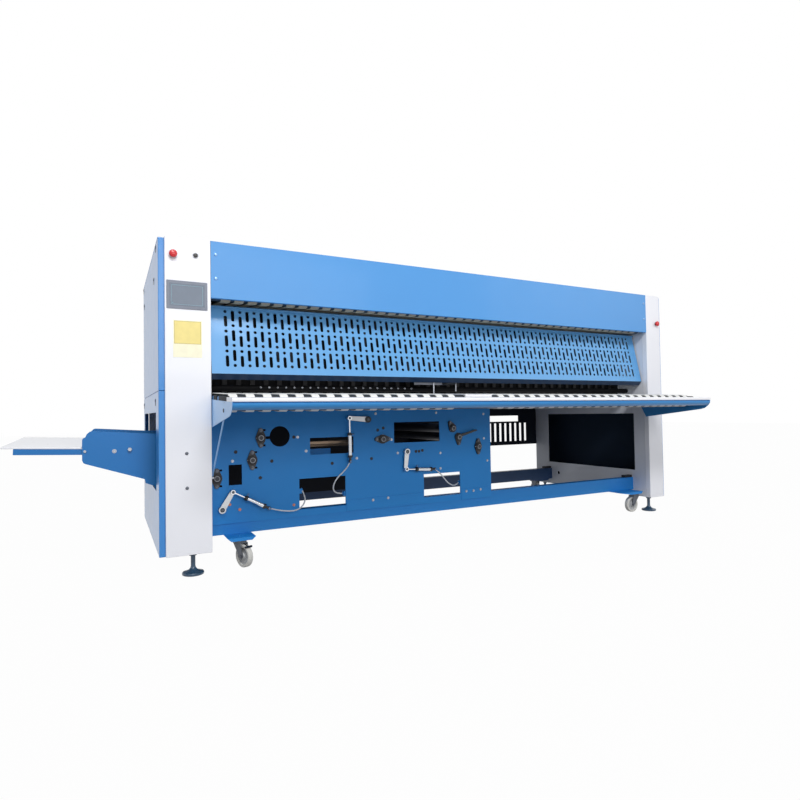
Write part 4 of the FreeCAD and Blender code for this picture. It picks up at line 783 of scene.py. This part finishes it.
for number, (tail, pin, hub) in LINKS.items():
    tail = Vector((tail[0], AIR_Y, tail[1]))
    pin = Vector((pin[0], AIR_Y, pin[1]))
    along = (pin - tail).normalized()
    end = TAIL_CAP + BARREL_SHARE * (pin - tail).length
    up = Vector((-along.z, 0, along.x))
    up = up if up.z > 0.2 or up.x > 0.5 else -up
    part = bmesh.new()
    add_turned(part, [(4.3, -6.8), (9.2, -6.8), (10, -6), (10, 6), (9.2, 6.8), (4.3, 6.8)], tail,
               BACKWARD, 28, 1, True)
    add_turned(part, [(0, 9), (7.4, 9), (7.4, 22), (8.5, 24), (14.2, 24), (15, 25), (15, 36.5),
                      (14.2, 37.6), (0, 37.6)], tail, along, 32, 1)
    add_turned(part, [(5.2, 37), (12, 37), (12, end - 13.6), (5.2, end - 13.6)], tail, along, 32, 0,
               True)
    add_turned(part, [(5.2, end - 14), (14.2, end - 14), (15, end - 13), (15, end - 1.2),
                      (14.2, end - 0.2), (9, end), (9, end + 4.5), (8.4, end + 5), (5.2, end + 5)],
               tail, along, 32, 1, True)
    outlet = Vector(ROUTES[number][0]) - tail
    reach = outlet.length
    add_turned(part, [(0, 7), (4.8, 7), (4.8, reach - 9), (6, reach - 8.6), (6, reach - 2.4),
                      (5.4, reach - 0.4), (4.2, reach - 0.2), (4.2, reach - 2), (0, reach - 2)],
               tail, outlet, 20, 2)
    base = tail + along * (end - 7)
    add_turned(part, [(0, 10), (6.4, 10), (6.4, 19), (5.8, 19.6), (5.8, 27), (5.2, 28), (3.4, 28.2),
                      (3.4, 26), (0, 26)], base, up, 20, 2)
    keep_piece("cylinder_" + number, part, [tube_silver, cap_black, fitting_blue],
               "air_cylinder_" + number, ("air_cylinder_" + number,))
    dress("cylinder_rod_" + number, rod_chrome)

    part = bmesh.new()
    blade = hull(round_points(hub[0], hub[1], 17, 28) + round_points(pin.x, pin.z, 12.6, 28))
    add_plate(part, blade, "y", 140, 150)
    round_edges(part, 0.9)
    add_turned(part, [(8.2, 0), (19, 0), (20, 1), (20, 24), (19, 25), (8.2, 25)],
               (hub[0], 134, hub[1]), BACKWARD, 36, 2 if number == "two" else 0, True)
    add_turned(part, [(8.2, 0), (12.5, 0), (12.5, 0.8), (8.2, 0.8)], (hub[0], 133.4, hub[1]),
               BACKWARD, 32, 2, True)
    add_turned(part, [(0, 0), (7.2, 0), (8, 0.8), (8, 56), (7, 57), (0, 57)],
               (hub[0], 132.5, hub[1]), BACKWARD, 28, 1)
    add_turned(part, [(0, 0), (3.2, 0), (4, 0.8), (4, 27), (0, 27)], (pin.x, 116.2, pin.z),
               BACKWARD, 20, 1)
    add_turned(part, [(3.9, 0), (7.2, 0), (7.2, 1.4), (3.9, 1.4)], (pin.x, 119.4, pin.z), BACKWARD,
               20, 1, True)
    keep_piece("crank_" + number, part, [crank_steel, bolt_dark, cap_black],
               "crank_arm_" + number, ("crank_arm_" + number,))

copied("tail_nuts", hex_head(7, 5.4), bolt_steel, CABINET,
       [(tail[0], 121.8, tail[1]) for tail, pin, hub in LINKS.values()])


# ---- infeed table ----
# The table is a white laminate board on a blue folded rail, with dark slider bed sheet behind it
# and two gussets at its ends. Canvas belts run over it, round a front and a rear roller.

TABLE_SLOPE = math.radians(2.9)
TABLE_AXIS = (75.0, 908.0)
STAY_PIN = (-408, -36)
NOSE_REACH = -426


def on_table(spot):
    """A point given along the table: x, distance behind the rear roller's axis, and height."""
    x, back, high = spot
    return (x, TABLE_AXIS[0] + back * math.cos(TABLE_SLOPE) - high * math.sin(TABLE_SLOPE),
            TABLE_AXIS[1] + back * math.sin(TABLE_SLOPE) + high * math.cos(TABLE_SLOPE))


table_paint = coated("table_blue", colour(36, 128, 194), 0.42, 0.04, 0.1)
# a paler copy of the table's blue: painted light, for the brightly lit left gusset and the stay;
# the right gusset keeps the table's own blue
lit_table_paint = coated("table_blue_painted_light", colour(140, 196, 250), 0.34, 0.03, 0.4)
board_white = coated("board_white", colour(244, 244, 248), 0.3, 0.015, 0.4)
bed_black = coated("bed_black", colour(16, 17, 20), 0.6, 0.1, 0, 0.15)
RAIL = ((-608, 4), (-611.5, 1.5), (-612, -2), (-610.5, -11), (-604, -20), (-593, -26.5),
        (-580, -29), (-572, -29), (-572, 9), (-600, 9), (-600, 4))
GUSSET = ((-612, 9), (-600, -25), (-572, -49), (-543, -58), (-75, -137), (-28, -60), (24, -30),
          (26, 6), (18, 22), (0, 28), (-18, 22), (-28, 9))
LEFT, RIGHT = 228.0, 3592.0
part = bmesh.new()
add_plate(part, RAIL, "x", LEFT + 3, RIGHT - 3)
for tube in (-90, -240):
    add_block(part, (LEFT + 3, tube - 25, -21), (RIGHT - 3, tube + 25, 28.8), 3)
gussets = bmesh.new()
for tone, low, high in ((0, LEFT, LEFT + 3), (1, RIGHT - 3, RIGHT)):
    add_plate(gussets, GUSSET, "x", low, high, tone)
round_edges(gussets, 0.7)
for x, out in ((LEFT, -1), (RIGHT, 1)):
    add_turned(gussets, [(0, 0), (9.5, 0), (9.5, 2.4), (8, 3.2), (0, 3.2)], (x, *STAY_PIN),
               (out, 0, 0), 16, 2)
add_turned(gussets, [(0, 0), (5, 0), (5, 13.6), (4, 14), (0, 14)], (LEFT, *STAY_PIN), (1, 0, 0),
           16, 2)
for node, shape_part, paints in (("rail", part, [table_paint]),
                                 ("gussets", gussets, [lit_table_paint, table_paint, bolt_dark])):
    keep_piece("table_" + node, shape_part, paints, "infeed_table",
               ("infeed_frame",), on_table)

part = bmesh.new()
BOARD = ((-606, 9), (-610.5, 11), (-612, 15), (-612, 23), (-610.5, 27), (-606, 29), (-478, 29),
         (-478, 9))
add_plate(part, BOARD, "x", LEFT + 0.5, RIGHT - 0.5)
for low, high in ((LEFT, LEFT + 14), (RIGHT - 14, RIGHT)):
    for front, back in ((-478, -266.5), (-213.5, -116.5), (-63.5, -44)):
        add_block(part, (low, front, 9), (high, back, 34), 2, 1)
add_block(part, (LEFT + 14, -392, 29.1), (RIGHT - 14, -34, 33.9), 1, 1)
add_block(part, (1560, -462, 41), (1760, -40, 44), 1)
add_block(part, (1566, -462, 29), (1754, -42, 41.2), 1)
keep_piece("table_board", part, [board_white, bed_black], "infeed_table",
           ("infeed_bed",), on_table)


THREAD_PITCH = 1.6


def woven(name, base):
    """Plain-woven canvas: two sets of threads crossing, with slubs and a soft sheen."""
    material, tree, shader = new_material(name)
    where = tree.nodes.new("ShaderNodeTexCoord")
    sets = []
    for axis in ("X", "DIAGONAL"):
        threads = tree.nodes.new("ShaderNodeTexWave")
        threads.bands_direction = axis
        threads.inputs["Scale"].default_value = 1 / (THREAD_PITCH * MM * 2 * math.pi)
        threads.inputs["Distortion"].default_value = 0.6
        tree.links.new(where.outputs["Object"], threads.inputs["Vector"])
        sets.append(threads.outputs["Fac"])
    tree.links.new(blend_colours(tree, noise(tree, 9, 4), shaded(base, 0.9), shaded(base, 1.05)),
                   shader.inputs["Base Color"])
    shader.inputs["Roughness"].default_value = 0.85
    shader.inputs["Sheen Weight"].default_value = 0.15
    raised(tree, shader, reckon(tree, "MULTIPLY", *sets), 0.25)
    return material


def add_loop(part, start, end, radius, thick, width, turned_to=None):
    """One belt loop round two rollers, in a plane, with its width to both sides of that plane."""
    start, end = Vector(start), Vector(end)
    run = (end - start).normalized()
    up = Vector((-run.y, run.x))
    steps = 14
    bends = []
    for centre, first in ((end, 1), (start, -1)):
        for i in range(steps + 1):
            angle = math.pi * i / steps
            bends.append((centre, up * first * math.cos(angle) + run * first * math.sin(angle)))
    half = 0.5 * width
    section = ((0, -half), (0.75 * thick, -half), (thick, 0.8 - half), (thick, half - 0.8),
               (0.75 * thick, half), (0, half))
    rings = []
    for centre, out in bends:
        ring = []
        for lift, side in section:
            spot = centre + out * (radius + lift)
            ring.append(part.verts.new((side, spot.x, spot.y) if not turned_to
                                       else (spot.x, side, spot.y)))
        rings.append(ring)
    for low, high in zip(rings, rings[1:] + rings[:1]):
        for i in range(len(section)):
            after = (i + 1) % len(section)
            part.faces.new([low[i], low[after], high[after], high[i]])


belt_canvas = woven("belt_canvas_white", colour(240, 239, 235))
nose = on_table((0, NOSE_REACH, 0))
BELT = (40.3, 3.5, 40.0)
BELT_PITCH = 81.0
for side, first, count in (("left", 262, 16), ("right", 1831, 22)):
    unit = bmesh.new()
    add_loop(unit, TABLE_AXIS, nose[1:], *BELT)
    copied("infeed_belts_" + side, unit, belt_canvas, "infeed_table", (),
           (count, (first, 0, 0), (BELT_PITCH, 0, 0)), ("infeed_belts",))
drum_black = moulded("drum_black", colour(20, 21, 24), 0.5)
drum_grey = brushed("drum_grey", colour(150, 152, 158), 0.34, (1, 1, 1), 0.85)
dress("infeed_nose_roller", drum_black)
dress("infeed_rear_roller", drum_black)
# the stay takes the paler, painted-light copy of the table's blue
dress("table_stay", lit_table_paint)


# ---- guard ----
# The long guard is one steel sheet, hung from a rod along its top edge and pierced with three rows
# of slots and round holes. It is sprayed the same blue as the header, and hardly clears the belts.
# Its lower lip, which faces down, is painted dark navy as painted shade.

LIP_HEIGHT = 1055.3
LIP_SHADE_LEVEL = at(0, 0, LIP_HEIGHT).z
# below the lip's height the guard is painted dark navy: painted shade on the lip
guard_paint = coated("guard_blue", colour(90, 158, 214), 0.45, 0.04, 0.1,
                     part=("Z", LIP_SHADE_LEVEL, False, colour(18, 50, 84)))
dress("guard_panel", guard_paint)


# ---- upper belts ----
# Flat beige belts run over a roller just under the header and back to the fold roller inside.

belt_beige = woven("belt_canvas_beige", colour(196, 184, 160))
UPPER_FRONT, UPPER_BACK = (72, 1478), (700, 1560)
UPPER_BELT = (28.3, 3.5, 50.0)
UPPER_ROW = (45, (311.0, 0, 0), (72.6, 0, 0))
unit = bmesh.new()
add_loop(unit, UPPER_FRONT, UPPER_BACK, *UPPER_BELT)
copied("upper_belt_loops", unit, belt_beige, CABINET, (), UPPER_ROW,
       ("upper_belts",))
roller_dark = brushed("roller_dark", colour(70, 72, 78), 0.4, (1, 1, 1), 0.8)
dress("upper_front_roller", roller_dark)
dress("fold_roller", roller_dark)


# ---- delivery outlet ----
# Two cut plates reach out of the left end frame, with a belt roller between them. A white board on
# blue flat beams hangs between their outer ends, and folds up.

bracket_paint = coated("bracket_blue", colour(14, 112, 182), 0.42, 0.05, 0.1)
dress("outfeed_brackets", bracket_paint)
dress("outfeed_roller", drum_grey)
OUTFEED_AXIS = (-154, 655)
OUTFEED_BELT = (33.3, 3.5, 60.0)
OUTFEED_ROW = (7, (0, 360.0, 0), (0, 105.0, 0))
unit = bmesh.new()
add_loop(unit, CROSS[0], OUTFEED_AXIS, *OUTFEED_BELT, "y")
copied("outfeed_belt_loops", unit, belt_canvas, CABINET, (), OUTFEED_ROW,
       ("outfeed_belts",))
SLAB_TILT = math.radians(2.5)
SLAB_HINGE = (-364.0, 652.0)
SLAB_FRONT, SLAB_BACK = 291.0, 1132.0
SLAB_RISE = 24.0


def on_slab(spot):
    """A point given from the slab's hinge."""
    x, y, z = spot
    return (SLAB_HINGE[0] + x * math.cos(SLAB_TILT) + z * math.sin(SLAB_TILT), y,
            SLAB_HINGE[1] - x * math.sin(SLAB_TILT) + z * math.cos(SLAB_TILT))


def slab_top(y, z):
    """The board rises towards the back."""
    return z + SLAB_RISE * (y - SLAB_FRONT) / (SLAB_BACK - SLAB_FRONT)


part = bmesh.new()
BOARD_X = (-363.5, -17.0)
ends = [(x, y) for x in BOARD_X for y in (SLAB_FRONT, SLAB_BACK)]
corners = [[part.verts.new((x, y, slab_top(y, z))) for z in (12.0, 22.0)] for x, y in ends]
a, b, c, d = corners
for face in ((a[0], b[0], d[0], c[0]), (a[1], c[1], d[1], b[1]), (a[0], a[1], b[1], b[0]),
             (c[0], d[0], d[1], c[1]), (a[0], c[0], c[1], a[1]), (b[0], b[1], d[1], d[0])):
    part.faces.new(face)
round_edges(part, 2.0, 3)
keep_piece("slab_board", part, [board_white], "delivery_slab", ("delivery_slab",),
           on_slab)
part = bmesh.new()
for (x0, x1), (y0, y1) in (((-312, 12), (293, 323)), ((-312, 12), (1100, 1130)),
                           ((-310, -282), (322, 1101))):
    add_block(part, (x0, y0, -18), (x1, y1, slab_top(y0, 11.5)), 1.5)
PIN_START, PIN_LENGTH = 274, 876
add_turned(part, [(0, 0), (6, 0), (7, 1), (7, PIN_LENGTH - 1), (6, PIN_LENGTH), (0, PIN_LENGTH)],
           (0, PIN_START, 0), BACKWARD, 20, 1)
keep_piece("slab_beams", part, [bracket_paint, bolt_steel], "delivery_slab", (),
           on_slab)
copied("tie_bolt", hex_head(8, 6, 11), bolt_steel, CABINET,
       [(-228, 280, 648)])
copied("roller_bolt", hex_head(11, 7), bolt_steel, "outfeed_roller",
       [(OUTFEED_AXIS[0], 272, OUTFEED_AXIS[1])])


# ---- feet and casters ----
# The machine is moved on casters with off-white wheels in zinc forks, and stands on painted
# levelling feet whose studs screw into the end frames.

foot_paint = coated("foot_teal", colour(34, 66, 92), 0.36, 0.05, 0.4)
zinc_grey = brushed("zinc_grey", colour(92, 96, 104), 0.42, (1, 1, 1), 0.7)
FOOT_X, FOOT_Y = (136, 3660), (61.5, 1280)
foot = bmesh.new()
add_turned(foot, [(0, 0), (50, 0), (54, 2), (55, 5), (55, 11), (52, 15), (36, 18.5), (22, 26),
                  (14, 36), (11.5, 46), (11.5, 99), (0, 99)], ORIGIN, UP, 40)
add_turned(foot, [(0, 99), (19, 99), (19, 112.6), (0, 112.6)], ORIGIN, UP, 6)
add_turned(foot, [(0, 112), (11.9, 112), (11.9, 172), (11, 174), (0, 174)], ORIGIN, UP, 20)
copied("feet", foot, foot_paint, "levelling_feet",
       [(x, y, 0) for x in FOOT_X for y in FOOT_Y], None, ("levelling_feet",))
for node in ("caster_fork_left", "caster_fork_right", "rear_caster_forks"):
    dress(node, zinc_grey)
tyre_white = moulded("tyre_white", colour(206, 205, 200), 0.5)
hub_grey = moulded("hub_grey", colour(168, 170, 172), 0.4)
TYRE = [(44, -9), (47, -14.4), (57, -15), (60.4, -12.4), (61.5, -7), (61.5, 7), (60.4, 12.4),
        (57, 15), (47, 14.4), (44, 9)]
HUB = [(6.3, -18), (18, -18), (20, -16), (22, -8), (43, -7), (45, -9), (45, 9), (43, 7), (22, 8),
       (20, 16), (18, 18), (6.3, 18)]
WHEEL_CENTRE = 62.5
LEFT_PIVOT = (385, 90)
FORK_ANGLE = math.radians(-66)
WHEELS = (("caster_wheel_left", (399.64, 57.11), (-math.sin(FORK_ANGLE), math.cos(FORK_ANGLE), 0)),
          ("caster_wheel_right", (3489.0, 90.0), BACKWARD),
          ("rear_caster_wheels", (385.0, 1236.0), (1, 0, 0)),
          ("rear_caster_wheels", (3497.0, 1236.0), (1, 0, 0)))
for number, (body, (x, y), axle) in enumerate(WHEELS):
    part = bmesh.new()
    add_turned(part, TYRE, (x, y, WHEEL_CENTRE), axle, 40, 0, True)
    add_turned(part, HUB, (x, y, WHEEL_CENTRE), axle, 32, 1, True)
    keep_piece("caster_tyre_%d" % number, part, [tyre_white, hub_grey], body,
               (body,))
part = bmesh.new()
trail = Vector((math.cos(FORK_ANGLE), math.sin(FORK_ANGLE), 0))
pedal = hull([(-24, -5), (-24, 5), (24, -5), (24, 5), (19, 9), (-19, 9)])
add_plate(part, pedal, "z", -2.5, 2.5)
round_edges(part, 1.0)
tip = Matrix.Translation(Vector((*LEFT_PIVOT, 116)) + trail * 72) @ Matrix.Rotation(
    FORK_ANGLE - math.pi / 2, 4, "Z") @ Matrix.Rotation(math.radians(-24), 4, "X")
bmesh.ops.transform(part, matrix=tip, verts=part.verts)
add_turned(part, [(0, 0), (4, 0), (4, 44), (0, 44)], Vector((*LEFT_PIVOT, 128)) + trail * 30,
           trail * 42 - Vector((0, 0, 12)), 12)
keep_piece("brake_pedal", part, [cap_black], "caster_fork_left")


# ---- cover screws ----
# Four blue pan-head screws hold the header to the end frames, and two dark ones go through the left
# column cover, one above the other.

screw_blue = brushed("screw_blue", colour(140, 176, 216), 0.3, (1, 1, 1), 0.6)
HEADER_SCREWS = ((252, 1684), (252, 1556), (3583, 1684), (3583, 1556))
COLUMN_SCREWS = ((101, 636), (102, 458))
for name, finish, spots, covered in (("header_screws", screw_blue, HEADER_SCREWS, ()),
                                     ("column_screws", bolt_dark, COLUMN_SCREWS,
                                      ("cover_screws",))):
    screw = bmesh.new()
    add_turned(screw, [(0, 0), (8.2, 0), (8.6, 1), (7.4, 3.4), (4.5, 4.4), (3, 4.5), (2.8, 2.4),
                       (0, 2.4)], ORIGIN, FORWARD, 20)
    copied(name, screw, finish, CABINET, [(x, 0, z) for x, z in spots], None,
           covered)


# ---- inside ----
# Behind the guard is a dark inner screen with upright guide strips, and in front of it the blow
# pipe with its nozzles. Two near-black sheets at the back are painted shade, closing the view
# through the windows, and rails, a sensor bracket and a hand lever stand behind and beside the fold
# plate.

screen_paint = coated("inner_black", colour(12, 13, 16), 0.6, 0.1, 0, 0.15)
strip_black = moulded("strip_black", colour(34, 34, 37), 0.5)
# the first sheet is the inner screen behind the guard; the other two are near-black sheets put as
# painted shade behind the fold plates' windows
SCREEN_AND_SHADE_SHEETS = (((226, 300, 930), (3609, 303, 1440)), ((226, 1122, 862), (2330, 1125, 1000)),
          ((1960, 1060, 690), (2600, 1063, 1000)))
part = bmesh.new()
for low, high in SCREEN_AND_SHADE_SHEETS:
    add_block(part, low, high, 0.8)
keep_piece("inner_screen", part, [screen_paint], CABINET)
unit = bmesh.new()
add_block(unit, (-14, 286, 934), (14, 299.8, 1436), 3)
copied("guide_strips", unit, strip_black, CABINET, (),
       (41, (262.0, 0, 0), (BELT_PITCH, 0, 0)))
PIPE_START, PIPE_LENGTH = (226.5, 210, 985), 3382
part = bmesh.new()
add_turned(part, [(0, 0), (17, 0), (18, 1), (18, PIPE_LENGTH - 1), (17, PIPE_LENGTH),
                  (0, PIPE_LENGTH)], PIPE_START, (1, 0, 0), 24)
keep_piece("blow_pipe", part, [screen_paint], CABINET)
nozzle = bmesh.new()
add_turned(nozzle, [(0, -1), (6, -1), (6, 4), (4, 5), (3.4, 11), (2.6, 12), (0, 12)],
           (0, 192.5, PIPE_START[2]), FORWARD, 10)
copied("blow_nozzles", nozzle, bolt_steel, CABINET, (),
       (21, (530.0, 0, 4), (50.0, 0, 0)))

rail_brown = brushed("rail_brown", colour(150, 128, 108), 0.4, (0.05, 1, 1), 0.7)
part = bmesh.new()
add_block(part, (790, 300, 640), (1290, 324, 657), 1)
add_block(part, (790, 420, 618), (1290, 444, 632), 1)
add_block(part, (856, 290, 574), (992, 296, 612), 1, 1)
keep_piece("inner_rails", part, [rail_brown, beam_paint], CABINET)

bracket_grey = coated("bracket_grey", colour(128, 132, 142), 0.4)
part = bmesh.new()
add_block(part, (1501, 98, 1010), (1714, 104, 1060), 1.5)
add_block(part, (1501, 104, 1054), (1714, 284, 1060), 1.5)
for x, low, high in ((1645, 938, 1049), (1842, 970, 1025)):
    add_turned(part, [(0, 0), (4.5, 0), (5, 0.6), (5, high - low), (0, high - low)],
               (x, 94 if x < 1800 else 130, low), (0, 0, 1), 16, 1)
add_block(part, (1836, 124, 1018), (1848, 290, 1030), 1)
keep_piece("sensor_bracket", part, [bracket_grey, bolt_steel], CABINET)

part = bmesh.new()
lever = hull(round_points(1892, 671, 9) + round_points(2012, 700, 5.5))
add_plate(part, lever, "y", 136, 148)
round_edges(part, 1.6)
add_turned(part, [(0, 0), (7, 0), (7, 13), (0, 13)], (2006, 147.5, 698), BACKWARD, 16)
keep_piece("hand_lever", part, [cap_black], CABINET)

grille_paint = coated("grille_black", colour(12, 18, 32), 0.5, 0.1, 0, 0.2)
dress("rear_grille", grille_paint)
motor_paint = coated("motor_grey", colour(118, 122, 130), 0.4)
dress("drive_motor", motor_paint)
